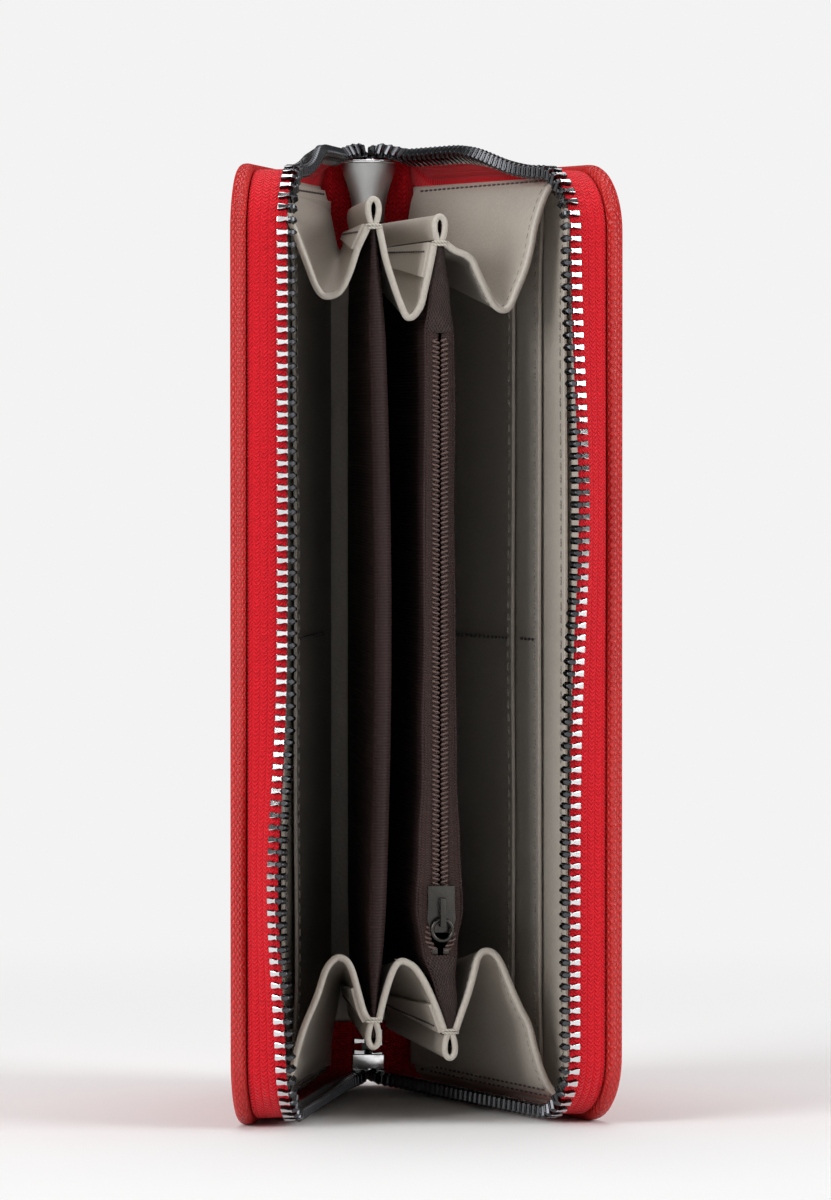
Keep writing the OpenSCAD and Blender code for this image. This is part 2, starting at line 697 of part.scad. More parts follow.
// From a cover to the divider at x. The back cover's is drawn on the front side and mirrored.
module side_gusset(side, x, fan, end) {
    color("#b5ad9f") at_end(end) mirror([side > 0 ? 1 : 0, 0, 0])
        pleat([cover_edge(0), cover_edge(1)], [divider_edge(x, fan, -1, 0), divider_edge(x, fan, -1, 1)],
            gusset_cover_z, gusset_divider_z);
}

module middle_gusset(end) {
    color("#b5ad9f") at_end(end)
        pleat([for (i = [0, 1]) divider_edge(bill_x, -bill_fan, 1, i)],
            [for (i = [0, 1]) divider_edge(coin_x, coin_fan, -1, i)], gusset_divider_z, gusset_divider_z);
}

// ---- The nodes ----

spine_leather();
spine_board();
spine_lining();
zip_tail_tape("top");  // zip_tail_tape_top
zip_tail_tape("bottom");  // zip_tail_tape_bottom
zip_tail_teeth("top");  // zip_tail_teeth_top
zip_tail_teeth("bottom");  // zip_tail_teeth_bottom
zip_bottom_stop();

cover_leather(-1);  // front_cover_leather
cover_board(-1);  // front_cover_board
cover_lining(-1);  // front_cover_lining
zip_tape(-1);  // front_zip_tape
zip_teeth(-1);  // front_zip_teeth
zip_tape_ends(-1);  // front_zip_tape_ends
zip_teeth_ends(-1);  // front_zip_teeth_ends
card_pocket(-1, 1);  // front_card_pocket_1
card_pocket(-1, 2);  // front_card_pocket_2
card_pocket(-1, 3);  // front_card_pocket_3

cover_leather(1);  // back_cover_leather
cover_board(1);  // back_cover_board
cover_lining(1);  // back_cover_lining
zip_tape(1);  // back_zip_tape
zip_teeth(1);  // back_zip_teeth
zip_tape_ends(1);  // back_zip_tape_ends
zip_teeth_ends(1);  // back_zip_teeth_ends
card_pocket(1, 1);  // back_card_pocket_1
card_pocket(1, 2);  // back_card_pocket_2
card_pocket(1, 3);  // back_card_pocket_3

bill_divider();
binding(bill_x, -bill_fan, "top");  // bill_divider_binding_top
binding(bill_x, -bill_fan, "bottom");  // bill_divider_binding_bottom

coin_wall(-1);  // coin_pocket_front_wall
coin_wall(1);  // coin_pocket_back_wall
binding(coin_x, coin_fan, "top");  // coin_pocket_binding_top
binding(coin_x, coin_fan, "bottom");  // coin_pocket_binding_bottom
coin_tape(-1);  // coin_zip_tape_front
coin_tape(1);  // coin_zip_tape_back
coin_coil(-1);  // coin_zip_coil_front
coin_coil(1);  // coin_zip_coil_back
coin_patch("top");  // coin_zip_patch_top
coin_patch("bottom");  // coin_zip_patch_bottom
coin_zip_stop();
coin_slider_body();
coin_slider_crown();
coin_pull_ring();

side_gusset(-1, bill_x, -bill_fan, "top");  // gusset_top_front
middle_gusset("top");  // gusset_top_middle
side_gusset(1, -coin_x, -coin_fan, "top");  // gusset_top_back
side_gusset(-1, bill_x, -bill_fan, "bottom");  // gusset_bottom_front
middle_gusset("bottom");  // gusset_bottom_middle
side_gusset(1, -coin_x, -coin_fan, "bottom");  // gusset_bottom_back

zip_slider_body();
zip_slider_crown();
zip_pull_tab();
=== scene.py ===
import json
import math
from functools import partial

import bmesh
import bpy
from mathutils import Matrix, Vector, noise


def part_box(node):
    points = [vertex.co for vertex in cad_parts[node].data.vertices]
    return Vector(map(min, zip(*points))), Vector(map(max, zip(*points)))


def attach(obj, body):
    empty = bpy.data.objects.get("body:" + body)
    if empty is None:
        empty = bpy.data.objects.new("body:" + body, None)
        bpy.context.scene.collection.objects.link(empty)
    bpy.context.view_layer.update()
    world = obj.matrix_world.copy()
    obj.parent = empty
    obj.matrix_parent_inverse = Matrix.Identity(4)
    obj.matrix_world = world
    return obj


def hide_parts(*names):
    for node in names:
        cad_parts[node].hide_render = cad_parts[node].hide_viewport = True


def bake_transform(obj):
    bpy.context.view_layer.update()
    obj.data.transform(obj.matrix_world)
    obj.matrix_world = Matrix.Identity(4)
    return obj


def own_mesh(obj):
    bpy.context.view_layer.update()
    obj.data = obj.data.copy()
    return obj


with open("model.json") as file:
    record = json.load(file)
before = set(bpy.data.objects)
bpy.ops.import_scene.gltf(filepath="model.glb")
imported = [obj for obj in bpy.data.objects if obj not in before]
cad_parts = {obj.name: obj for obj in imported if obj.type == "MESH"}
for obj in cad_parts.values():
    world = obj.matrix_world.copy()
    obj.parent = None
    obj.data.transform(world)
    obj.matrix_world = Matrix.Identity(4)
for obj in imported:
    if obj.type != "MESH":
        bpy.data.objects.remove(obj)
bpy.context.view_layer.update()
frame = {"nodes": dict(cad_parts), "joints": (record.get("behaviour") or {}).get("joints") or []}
mm = 0.001

# ---- Camera ----
# A long lens a metre and a half off, to the front cover's side and level with the wallet's upper half.

azimuth = math.radians(-8)
looking = Vector((-math.sin(azimuth), math.cos(azimuth), 0))
to_right = Vector((math.cos(azimuth), math.sin(azimuth), 0))
camera_distance = 1546 * mm
camera_height = 145 * mm
aim_right = 4 * mm
tilt = math.radians(1.46)

camera_data = bpy.data.cameras.new("camera")
camera_data.lens = 223.2
camera_data.sensor_width = 36
camera_data.clip_end = 20


def show(name, data):
    """Puts data into the scene as an object."""
    obj = bpy.data.objects.new(name, data)
    bpy.context.scene.collection.objects.link(obj)
    return obj


camera = show("camera", camera_data)
camera.location = to_right * aim_right - looking * camera_distance + Vector((0, 0, camera_height))
camera.rotation_euler = (math.radians(90) - tilt, 0, azimuth)
bpy.context.scene.camera = camera

# ---- Table and light ----
# A pale seamless table, a large soft light over each shoulder and a weak one from above. Polished metal
# sees a darker room than the table does, so that the teeth keep their black reflections.

bpy.context.scene.view_settings.view_transform = "Standard"


def node(tree, kind, inputs=(), **settings):
    """Adds a shader node. inputs gives its sockets their values, or the sockets that feed them."""
    made = tree.nodes.new("ShaderNode" + kind)
    for name, value in settings.items():
        setattr(made, name, value)
    for name, value in dict(inputs).items():
        if isinstance(value, bpy.types.NodeSocket):
            tree.links.new(value, made.inputs[name])
        else:
            made.inputs[name].default_value = value
    return made


def calc(tree, operation, *values):
    """The result of one Math node."""
    return node(tree, "Math", list(enumerate(values)), operation=operation).outputs[0]


world = bpy.data.worlds.new("studio")
bpy.context.scene.world = world
world.use_nodes = True
sky = world.node_tree
sky.nodes.clear()
ray = node(sky, "LightPath").outputs
towards = node(sky, "TexCoord").outputs["Generated"]
heading = node(sky, "SeparateXYZ", {0: towards}).outputs
ahead = node(sky, "MapRange", {0: heading[1], 1: -0.55, 2: -0.85}, interpolation_type="SMOOTHSTEP").outputs[0]
low = node(sky, "MapRange", {0: heading[2], 1: 0.55, 2: 0.35}, interpolation_type="SMOOTHSTEP").outputs[0]
front_card = calc(sky, "MULTIPLY_ADD", calc(sky, "MULTIPLY", ahead, low), 1.35, 0.05)
seen = node(sky, "Background", {"Color": (0.896, 0.896, 0.896, 1), "Strength": 1.0}).outputs[0]
ambient = node(sky, "Background", {"Color": (1, 1, 1, 1), "Strength": 0.21}).outputs[0]
dark_room = node(sky, "Background", {"Color": (1, 1, 1, 1), "Strength": front_card}).outputs[0]
lit = node(sky, "MixShader", {0: ray["Is Glossy Ray"], 1: ambient, 2: dark_room}).outputs[0]
mixed = node(sky, "MixShader", {0: ray["Is Camera Ray"], 1: lit, 2: seen}).outputs[0]
node(sky, "OutputWorld", {"Surface": mixed})


def soft_light(name, place, aim, size, power):
    """A square area light turned to a point."""
    data = bpy.data.lights.new(name, "AREA")
    data.size = size
    data.energy = power
    light = show(name, data)
    light.location = place
    light.rotation_euler = (Vector(aim) - Vector(place)).to_track_quat("-Z", "Y").to_euler()


soft_light("left_soft_light", (-1.3, -0.8, 0.75), (0, 0, 0.1), 0.9, 18)
soft_light("right_soft_light", (1.3, -0.75, 0.65), (0, 0, 0.1), 0.9, 15)
soft_light("top_soft_light", (0, 0.2, 1.5), (0, 0, 0.1), 1.2, 13)

floor_mesh = bmesh.new()
bmesh.ops.create_grid(floor_mesh, x_segments=1, y_segments=1, size=6)
floor_data = bpy.data.meshes.new("table")
floor_mesh.to_mesh(floor_data)
floor_mesh.free()
floor = show("table", floor_data)


def new_material(name):
    """A material with its node tree and its shader."""
    material = bpy.data.materials.new(name)
    material.use_nodes = True
    return material, material.node_tree, material.node_tree.nodes["Principled BSDF"]


def two_tone(tree, share, dark, light):
    """A colour between two, by a share that varies over the surface."""
    return node(tree, "Mix", {0: share, 6: (*dark, 1), 7: (*light, 1)}, data_type="RGBA").outputs[2]


def send(tree, to, values):
    """Links values to the named sockets of a node."""
    for name, value in values.items():
        tree.links.new(value, to.inputs[name])


paper, sheet, paper_shader = new_material("table_paper")
fibre = node(sheet, "TexNoise", {"Scale": 3.0, "Detail": 4.0}).outputs[0]
send(sheet, paper_shader, {"Base Color": two_tone(sheet, fibre, (0.84, 0.84, 0.84), (0.86, 0.86, 0.86))})
paper_shader.inputs["Roughness"].default_value = 0.7
paper_shader.inputs["Specular IOR Level"].default_value = 0.05
spot = node(sheet, "TexCoord").outputs["Object"]
away = node(sheet, "VectorMath", {0: spot}, operation="LENGTH").outputs["Value"]
far = node(sheet, "MapRange", {0: away, 1: 0.12, 2: 0.5}, interpolation_type="SMOOTHSTEP").outputs[0]
eye = node(sheet, "LightPath").outputs["Is Camera Ray"]
glow = node(sheet, "Emission", {"Color": (0.896, 0.896, 0.896, 1), "Strength": 1.0}).outputs[0]
shown = node(sheet, "MixShader", {0: calc(sheet, "MULTIPLY", far, eye), 1: paper_shader.outputs[0], 2: glow})
send(sheet, sheet.nodes["Material Output"], {"Surface": shown.outputs[0]})
floor_data.materials.append(paper)

# ---- Shells of the covers ----
# Fibre board wrapped in red cross-grained leather, turned in round the mouth and both ends, 3.2 mm thick at
# the edge. The leather is embossed with fine crossing lines. Each cover turns about the edge of the spine.

joints = {joint["name"]: joint for joint in frame["joints"]}
hinge = Vector(joints["back_cover_open"]["pos_m"])
half_open = math.radians(-joints["back_cover_open"]["range_deg"][0])
wallet_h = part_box("front_cover_leather")[1].z
cover_d = 100 * mm
cover_t = 3.2 * mm
corner_r = 14 * mm
covers = {"front_cover": -1, "back_cover": 1}


def on_cover(side, inward, depth, up):
    """A point of a cover: inward from the middle of its thickness, depth from its hinge towards the mouth."""
    across = hinge.x - inward * math.cos(half_open) + depth * math.sin(half_open)
    return Vector((side * across, hinge.y - inward * math.sin(half_open) - depth * math.cos(half_open), up))


def mottle(tree, where, scale, detail):
    """Noise over a surface."""
    return node(tree, "TexNoise", {"Vector": where, "Scale": scale, "Detail": detail}).outputs[0]


def new_pattern(name, worn_scale, worn_detail):
    """A node group for a surface, Worn made by noise: its tree, Math helper, inputs and output."""
    tree = bpy.data.node_groups.new(name, "ShaderNodeTree")
    tree.interface.new_socket("Vector", in_out="INPUT", socket_type="NodeSocketVector")
    tree.interface.new_socket("Pitch", in_out="INPUT", socket_type="NodeSocketFloat")
    for title in ("Height", "Worn"):
        tree.interface.new_socket(title, in_out="OUTPUT", socket_type="NodeSocketFloat")
    given = tree.nodes.new("NodeGroupInput").outputs
    result = tree.nodes.new("NodeGroupOutput")
    send(tree, result, {"Worn": mottle(tree, given["Vector"], worn_scale, worn_detail)})
    return tree, partial(calc, tree), given, result


# Crossing lines pressed into leather at an angle, uneven as a real plate leaves them.
cross_grain, do, given, result = new_pattern("cross_grain", 45.0, 4.0)
wander = mottle(cross_grain, given["Vector"], 260.0, 2.0)
thread = node(cross_grain, "SeparateXYZ", {0: given["Vector"]}).outputs
line_a = do("ADD", thread[0], do("MULTIPLY", thread[1], 0.62))
line_b = do("SUBTRACT", thread[0], do("MULTIPLY", thread[1], 0.62))
ridges = []
for line in (line_a, line_b):
    turns = do("DIVIDE", line, given["Pitch"])
    shaken = do("ADD", turns, do("MULTIPLY", wander, 0.5))
    ridges.append(do("ABSOLUTE", do("SINE", do("MULTIPLY", shaken, math.pi))))
cells = do("MULTIPLY", do("POWER", ridges[0], 0.6), do("POWER", ridges[1], 0.6))
send(cross_grain, result, {"Height": cells})

# Fine pebbled grain of smooth leather: shallow cells with pores.
fine_grain, do, given, result = new_pattern("fine_grain", 40.0, 3.0)
density = do("DIVIDE", 1.0, given["Pitch"])
pebbles = node(fine_grain, "TexVoronoi", {"Vector": given["Vector"], "Scale": density}, feature="SMOOTH_F1")
pores = mottle(fine_grain, given["Vector"], density, 5.0)
height = do("ADD", pebbles.outputs["Distance"], do("MULTIPLY", pores, 0.6))
send(fine_grain, result, {"Height": height})


def leather(name, group, pitch, dark, light, depth, roughness, on_uv=True):
    """Leather: a pressed grain with painted shade in its low places, a colour uneven at random, a satin
    finish. A sheet's grain follows its UV.
    """
    material, tree, shader = new_material(name)
    place = (node(tree, "UVMap", uv_map="cloth").outputs[0] if on_uv
             else node(tree, "TexCoord").outputs["Object"])
    grain = node(tree, "Group", {"Vector": place, "Pitch": pitch}, node_tree=group).outputs
    # Colour: half random mottle, half the grain's height, which paints shade into its low places and lightens
    # its raised ones.
    halves = [calc(tree, "MULTIPLY", grain[part], 0.5) for part in ("Height", "Worn")]
    grain_shade_and_mottle = calc(tree, "ADD", *halves)
    bump = node(tree, "Bump", {"Height": grain["Height"], "Distance": depth, "Strength": 1.0}).outputs[0]
    rough = calc(tree, "MULTIPLY_ADD", grain["Worn"], 0.18, roughness - 0.09)
    colour_with_grain_shade = two_tone(tree, grain_shade_and_mottle, dark, light)
    send(tree, shader, {"Base Color": colour_with_grain_shade, "Roughness": rough, "Normal": bump})
    shader.inputs["Specular IOR Level"].default_value = 0.45
    return material


red_leather = leather("red_cross_grain_leather", cross_grain, 1.0 * mm, (0.33, 0.004, 0.007),
                      (0.66, 0.022, 0.016), 0.2 * mm, 0.4)


def make_piece(name, mesh, material, replaced=(), smooth=True):
    """Turns a finished bmesh into an object with its materials, and hides the CAD nodes it stands for."""
    bmesh.ops.recalc_face_normals(mesh, faces=mesh.faces)
    data = bpy.data.meshes.new(name)
    mesh.to_mesh(data)
    mesh.free()
    for kind in material if isinstance(material, tuple) else (material,):
        data.materials.append(kind)
    for polygon in data.polygons:
        polygon.use_smooth = smooth
    obj = show(name, data)
    if replaced:
        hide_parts(*replaced)
    return obj


def soften(obj, levels):
    """A live Subdivision Surface, the same in the view and the render."""
    smoothing = obj.modifiers.new("soften", "SUBSURF")
    smoothing.levels = levels
    smoothing.render_levels = levels


def round_edges(mesh, edges, width, segments):
    """Rounds some edges of a mesh."""
    bmesh.ops.bevel(mesh, geom=edges, offset=width, segments=segments, profile=0.5, affect="EDGES",
                    material=-1)


def cut_across(mesh, place, direction):
    """Adds a row of edges where a plane cuts a mesh."""
    geometry = mesh.verts[:] + mesh.edges[:] + mesh.faces[:]
    bmesh.ops.bisect_plane(mesh, geom=geometry, plane_co=place, plane_no=direction)


def cover_blank(size, middle, radius, radius_steps, rim_r, rim_steps):
    """A plate before it is turned into place: x inward, y back, z up, rounded at the mouth and rim."""
    mesh = bmesh.new()
    bmesh.ops.create_cube(mesh, size=1)
    bmesh.ops.scale(mesh, vec=size, verts=mesh.verts)
    bmesh.ops.translate(mesh, vec=middle, verts=mesh.verts)
    mouth_corners = [e for e in mesh.edges if all(v.co.y < -cover_d / 2 for v in e.verts)
                     and abs(e.verts[0].co.z - e.verts[1].co.z) < mm]
    round_edges(mesh, mouth_corners, radius, radius_steps)
    rim = [e for e in mesh.edges if abs(e.verts[0].co.x - e.verts[1].co.x) < mm / 100]
    round_edges(mesh, rim, rim_r, rim_steps)
    return mesh


def lay_on_cover(mesh, side, flat_place):
    """Gives the corners of a plate their flat places as UV and turns it into its cover."""
    bmesh.ops.triangulate(mesh, faces=[f for f in mesh.faces if len(f.verts) > 4])
    mesh.normal_update()
    uv = mesh.loops.layers.uv.new("cloth")
    for face in mesh.faces:
        for corner in face.loops:
            corner[uv].uv = flat_place(face.normal, *corner.vert.co)
    for vert in mesh.verts:
        vert.co = on_cover(side, vert.co.x, -vert.co.y, vert.co.z)


def shell_flat_place(normal, x, y, z):
    if abs(normal.x) > 0.5:
        return y, z
    return (x, y) if abs(normal.z) > abs(normal.y) else (x, z)


turn_r = 1.35 * mm
for cover, side in covers.items():
    middle = (0, (cover_t / 2 - cover_d) / 2, wallet_h / 2)
    mesh = cover_blank((cover_t, cover_d + cover_t / 2, wallet_h), middle, corner_r, 14, turn_r, 4)
    for share in range(1, 12):
        cut_across(mesh, (0, 0, wallet_h * share / 12), (0, 0, 1))
    lay_on_cover(mesh, side, shell_flat_place)
    shell = make_piece(cover + "_shell", mesh, red_leather,
                       [cover + "_leather", cover + "_board"])
    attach(shell, cover)

# ---- Spine ----
# One strip of the same leather over a thin board, with taupe leather inside. It stops short of both ends.

spine_low, spine_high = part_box("spine_leather")
lining_low, lining_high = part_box("spine_lining")


def cloth_grid(columns, rows, size, place):
    """A grid whose corners go to place(u, v), u and v from 0 to 1, with a UV map in metres named cloth."""
    mesh = bmesh.new()
    bmesh.ops.create_grid(mesh, x_segments=columns, y_segments=rows, size=0.5)
    uv = mesh.loops.layers.uv.new("cloth")
    for face in mesh.faces:
        for corner in face.loops:
            across, along = corner.vert.co.x + 0.5, corner.vert.co.y + 0.5
            corner[uv].uv = (across * size[0], along * size[1])
    for vert in mesh.verts:
        vert.co = place(vert.co.x + 0.5, vert.co.y + 0.5)
    return mesh


def ease_edges(obj, width, angle):
    """A live bevel on the edges that are sharper than an angle."""
    rounding = obj.modifiers.new("edge", "BEVEL")
    rounding.width = width
    rounding.segments = 3
    rounding.limit_method = "ANGLE"
    rounding.angle_limit = math.radians(angle)
    rounding.harden_normals = True


def thicken(obj, thickness, edge=0.0):
    """Gives a sheet its thickness about its middle, and rounds its cut edges."""
    wall = obj.modifiers.new("thickness", "SOLIDIFY")
    wall.thickness = thickness
    wall.offset = 0
    if edge:
        ease_edges(obj, edge, 50)


taupe_leather = leather("taupe_leather", fine_grain, 0.55 * mm, (0.37, 0.335, 0.29), (0.53, 0.485, 0.425),
                        0.06 * mm, 0.42)
spine_half = hinge.x - cover_t / 2 + 0.2 * mm
outer_y = spine_high.y - 0.6 * mm


def spine_place(u, v):
    across = (2 * u - 1) * spine_half
    roll = max(0.0, abs(across) - spine_half + 1.0 * mm)
    return Vector((across, outer_y - roll * roll / (1.2 * mm),
                   spine_low.z + v * (spine_high.z - spine_low.z)))


outer_size = (2 * spine_half, spine_high.z - spine_low.z)
outer = make_piece("spine_outer_leather", cloth_grid(24, 40, outer_size, spine_place), red_leather,
                   ["spine_leather", "spine_board"])
thicken(outer, 1.15 * mm, 0.35 * mm)
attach(outer, "spine")


def spine_lining_place(u, v):
    return Vector((lining_low.x + u * (lining_high.x - lining_low.x), (lining_low.y + lining_high.y) / 2,
                   lining_low.z + v * (lining_high.z - lining_low.z)))


inner_size = (lining_high.x - lining_low.x, lining_high.z - lining_low.z)
inner = make_piece("spine_inner_leather", cloth_grid(8, 30, inner_size, spine_lining_place), taupe_leather,
                   ["spine_lining"])
thicken(inner, 0.8 * mm, 0.25 * mm)
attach(inner, "spine")

# ---- Linings of the covers ----
# Taupe leather cut to the cover's outline, laid over the turned edge and the tape and sewn through.

lining_t = 0.8 * mm
lining_inward = cover_t / 2 + 0.7 * mm
lining_inset = 2.2 * mm
lining_start = cover_t / 2 + 0.3 * mm
for cover, side in covers.items():
    depth = cover_d - lining_inset - lining_start
    middle = (lining_inward + lining_t / 2, -lining_start - depth / 2, wallet_h / 2)
    size = (lining_t, depth, wallet_h - 2 * lining_inset)
    mesh = cover_blank(size, middle, corner_r - lining_inset, 12, 0.3 * mm, 3)
    lay_on_cover(mesh, side, lambda normal, x, y, z: (y + x, z))
    lining = make_piece(cover + "_inside", mesh, taupe_leather, [cover + "_lining"])
    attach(lining, cover)

# ---- Tapes of the main zip ----
# Two bands of red herringbone tape. Each is sewn under the lining, stands square to its cover round three
# sides, leaves it near the spine and runs on free into a tail that hangs inside the spine.

tape_w = 6.4 * mm
tooth_l = 3.9 * mm
tooth_grip = 2 * mm
tape_t = 0.7 * mm
tape_inset = 1.2 * mm
ends_at = 16 * mm
tail_low, tail_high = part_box("zip_tail_tape_top")
foot_low, foot_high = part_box("zip_tail_tape_bottom")
tail_y = (tail_low.y + tail_high.y) / 2
tail_edge = 1.15 * mm
run_side = cover_d - corner_r - ends_at
edge_r = corner_r - tape_inset
run_corner = edge_r * math.pi / 2
run_front = wallet_h - 2 * corner_r
zip_l = 2 * run_side + 2 * run_corner + run_front
seam_w = 4 * mm
tail_steps, end_steps, main_steps = 14, 14, 300


def ease(t):
    """From 0 to 1 with a soft start and stop."""
    return 0.5 - 0.5 * math.cos(math.pi * max(0.0, min(1.0, t)))


def edge_at(s):
    """Where the tape folds out of its cover, s from its top end: depth, height and outward angle."""
    if s < run_side:
        return ends_at + s, wallet_h - tape_inset, math.pi / 2
    if s < run_side + run_corner:
        turn = (s - run_side) / edge_r
        return (cover_d - corner_r + edge_r * math.sin(turn), wallet_h - corner_r + edge_r * math.cos(turn),
                math.pi / 2 - turn)
    if s < run_side + run_corner + run_front:
        return cover_d - tape_inset, wallet_h - corner_r - (s - run_side - run_corner), 0.0
    if s < zip_l - run_side:
        turn = (s - run_side - run_corner - run_front) / edge_r
        return (cover_d - corner_r + edge_r * math.cos(turn), corner_r - edge_r * math.sin(turn), -turn)
    return cover_d - corner_r - (s - zip_l + run_side), tape_inset, -math.pi / 2


def tape_lean(side, s):
    """How far the tape leans outwards: risen along the top, slack on the long side, level below."""
    top_lean, bottom_lean = math.radians(38), math.radians(-4)
    z = edge_at(s)[1]
    slack = (math.radians(34) * math.exp(-((z - 0.25 * wallet_h) / (32 * mm)) ** 2) if side < 0
             else math.radians(24) * math.exp(-((z - 0.64 * wallet_h) / (36 * mm)) ** 2))
    if s < run_side:
        return top_lean * ease((run_side - s) / (0.7 * run_side))
    if s > zip_l - run_side:
        return bottom_lean
    if s > zip_l - run_side - run_corner:
        share = ease((s - zip_l + run_side + run_corner) / run_corner)
        return slack * (1 - share) + bottom_lean * share
    return slack * ease((s - run_side) / run_corner)


def tape_point(side, s, outward, inward):
    depth, up, angle = edge_at(s)
    return on_cover(side, inward, depth + outward * math.cos(angle), up + outward * math.sin(angle))


def over_tape(side, s, across):
    """A point in the middle of the tape's thickness, across from where it leaves the cover."""
    lean = tape_lean(side, s)
    return tape_point(side, s, across * math.sin(lean) - tape_t / 2 * math.cos(lean),
                      cover_t / 2 + across * math.cos(lean) + tape_t / 2 * math.sin(lean))


def free_end(side, top, across, tail_x, t):
    """The tape between its cover and the tail: a curve from the cover's direction into the upright tail."""
    start = over_tape(side, 0 if top else zip_l, across)
    ahead = on_cover(side, 0, 0, 0) - on_cover(side, 0, 8 * mm, 0)
    stop = Vector((side * tail_x, tail_y, tail_high.z if top else foot_low.z))
    over = stop + Vector((0, 0, 4.5 * mm if top else -1.6 * mm))
    k = 1 - t
    return k ** 3 * start + 3 * k * k * t * (start + ahead) + 3 * k * t * t * over + t ** 3 * stop


def tape_rail(side, across, tail_x):
    """Points along the whole tape, from the foot of the top tail to the head of the bottom one."""
    rail = []
    for i in range(tail_steps):
        rail.append(Vector((side * tail_x, tail_y, tail_low.z + (tail_high.z - tail_low.z) * i / tail_steps)))
    rail += [free_end(side, True, across, tail_x, 1 - i / end_steps) for i in range(end_steps)]
    rail += [over_tape(side, zip_l * i / main_steps, across) for i in range(main_steps)]
    rail += [free_end(side, False, across, tail_x, i / end_steps) for i in range(end_steps)]
    for i in range(tail_steps + 1):
        rail.append(Vector((side * tail_x, tail_y, foot_low.z + (foot_high.z - foot_low.z) * i / tail_steps)))
    return rail


def seam_rail(side, base):
    """The tape's sewn edge: under the lining, then turned down beside the spine to close the corner."""
    rail = [p.copy() for p in base]
    first = tail_steps + end_steps
    last = first + main_steps
    for i in range(first, last):
        rail[i] = tape_point(side, zip_l * (i - first) / main_steps, -seam_w, cover_t / 2 + tape_t / 2)
    for corner, step, drop in ((first, -1, -7 * mm), (last - 1, 1, 5 * mm)):
        folded = rail[corner] - base[corner]
        beside = Vector((side * 1.5 * mm, 0.6 * mm, drop))
        for i in range(1, end_steps + tail_steps + 1):
            spot = corner + i * step
            if 0 <= spot < len(rail):
                tail_share = max(0, i - end_steps) / tail_steps
                rail[spot] = base[spot] + folded.lerp(beside, ease(1.6 * i / end_steps)) * (1 - tail_share)
    return rail


def along_rail(rail, t):
    place = t * (len(rail) - 1)
    i = min(int(place), len(rail) - 2)
    return rail[i].lerp(rail[i + 1], place - i)


# Herringbone of the tape: columns of threads that lean one way and then the other.
herringbone, do, given, result = new_pattern("herringbone", 900.0, 3.0)
thread = node(herringbone, "SeparateXYZ", {0: given["Vector"]}).outputs
column = do("FRACT", do("DIVIDE", thread[0], do("MULTIPLY", given["Pitch"], 2.2)))
slant = do("ABSOLUTE", do("SUBTRACT", column, 0.5))
turns = do("ADD", do("DIVIDE", thread[1], given["Pitch"]), do("MULTIPLY", slant, 1.5))
wave = do("SINE", do("MULTIPLY", turns, 2 * math.pi))
furrow = do("SMOOTH_MIN", do("MULTIPLY", do("SUBTRACT", 0.5, slant), 6.0), 1.0, 0.2)
height = do("MULTIPLY", do("MULTIPLY_ADD", wave, 0.5, 0.5), furrow)
send(herringbone, result, {"Height": height})


def cloth(name, group, pitch, dark, light, depth, roughness, sheen):
    """Woven cloth: painted shade between the threads, matt, with a little sheen."""
    material = leather(name, group, pitch, dark, light, depth, roughness)
    shader = material.node_tree.nodes["Principled BSDF"]
    shader.inputs["Sheen Weight"].default_value = sheen
    shader.inputs["Sheen Roughness"].default_value = 0.4
    shader.inputs["Specular IOR Level"].default_value = 0.2
    return material


red_tape = cloth("red_zip_tape", herringbone, 0.85 * mm, (0.48, 0.003, 0.009), (0.96, 0.014, 0.030),
                 0.26 * mm, 0.75, 0.1)
base_across = 0.3 * mm
tail_base = 8.6 * mm
seam_share = 0.2
tape_columns, tape_rows = 10, 400
tape_size = (12 * mm, 0.42)
tape_rails = {}


def bend_from(obj):
    """Bakes a piece's placement into its mesh."""
    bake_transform(obj)


for cover, side in covers.items():
    base = tape_rail(side, base_across, tail_base)
    foot = tape_rail(side, tape_w, tail_edge + tooth_grip)
    edge = tape_rail(side, tape_w + tooth_grip, tail_edge)
    seam = seam_rail(side, base)
    tape_rails[cover] = (base, foot, edge)

    def tape_place(u, v):
        low, high = (seam, base) if u < seam_share else (base, edge)
        share = u / seam_share if u < seam_share else (u - seam_share) / (1 - seam_share)
        return along_rail(low, v).lerp(along_rail(high, v), share)

    tape = make_piece(cover + "_tape", cloth_grid(tape_columns, tape_rows, tape_size, tape_place), red_tape,
                      [cover[:-6] + "_zip_tape", cover[:-6] + "_zip_tape_ends"])
    thicken(tape, tape_t)
    soften(tape, 1)
    bend_from(tape)

# ---- Teeth ----
# Cast metal teeth clamped on the tapes' edges: two jaws over the tape, a narrow waist and a round head.
# Only the jaws' front and back faces take the bright metal; heads, sides and edges take a near-black copy of
# it, painted shade and painted dark reflection. They follow the tapes into the tails, where the two rows
# mesh.

tooth_pitch = 2.44 * mm
chain_t = 2.6 * mm


def metal(name, colour, roughness, scratch):
    """Cast and polished metal with faint marks in its roughness and surface."""
    material, tree, shader = new_material(name)
    coordinates = node(tree, "TexCoord").outputs["Object"]
    marks = mottle(tree, coordinates, 900.0, 4.0)
    patina = mottle(tree, coordinates, 120.0, 2.0)
    rough = calc(tree, "MULTIPLY_ADD", marks, 0.16, roughness - 0.08)
    bump = node(tree, "Bump", {"Height": marks, "Distance": scratch, "Strength": 0.6}).outputs[0]
    tone = two_tone(tree, patina, [c * 0.78 for c in colour], colour)
    send(tree, shader, {"Base Color": tone, "Roughness": rough, "Normal": bump})
    shader.inputs["Metallic"].default_value = 1.0
    return material


polished_metal = metal("polished_tooth_metal", (0.80, 0.80, 0.81), 0.17, 0.03 * mm)
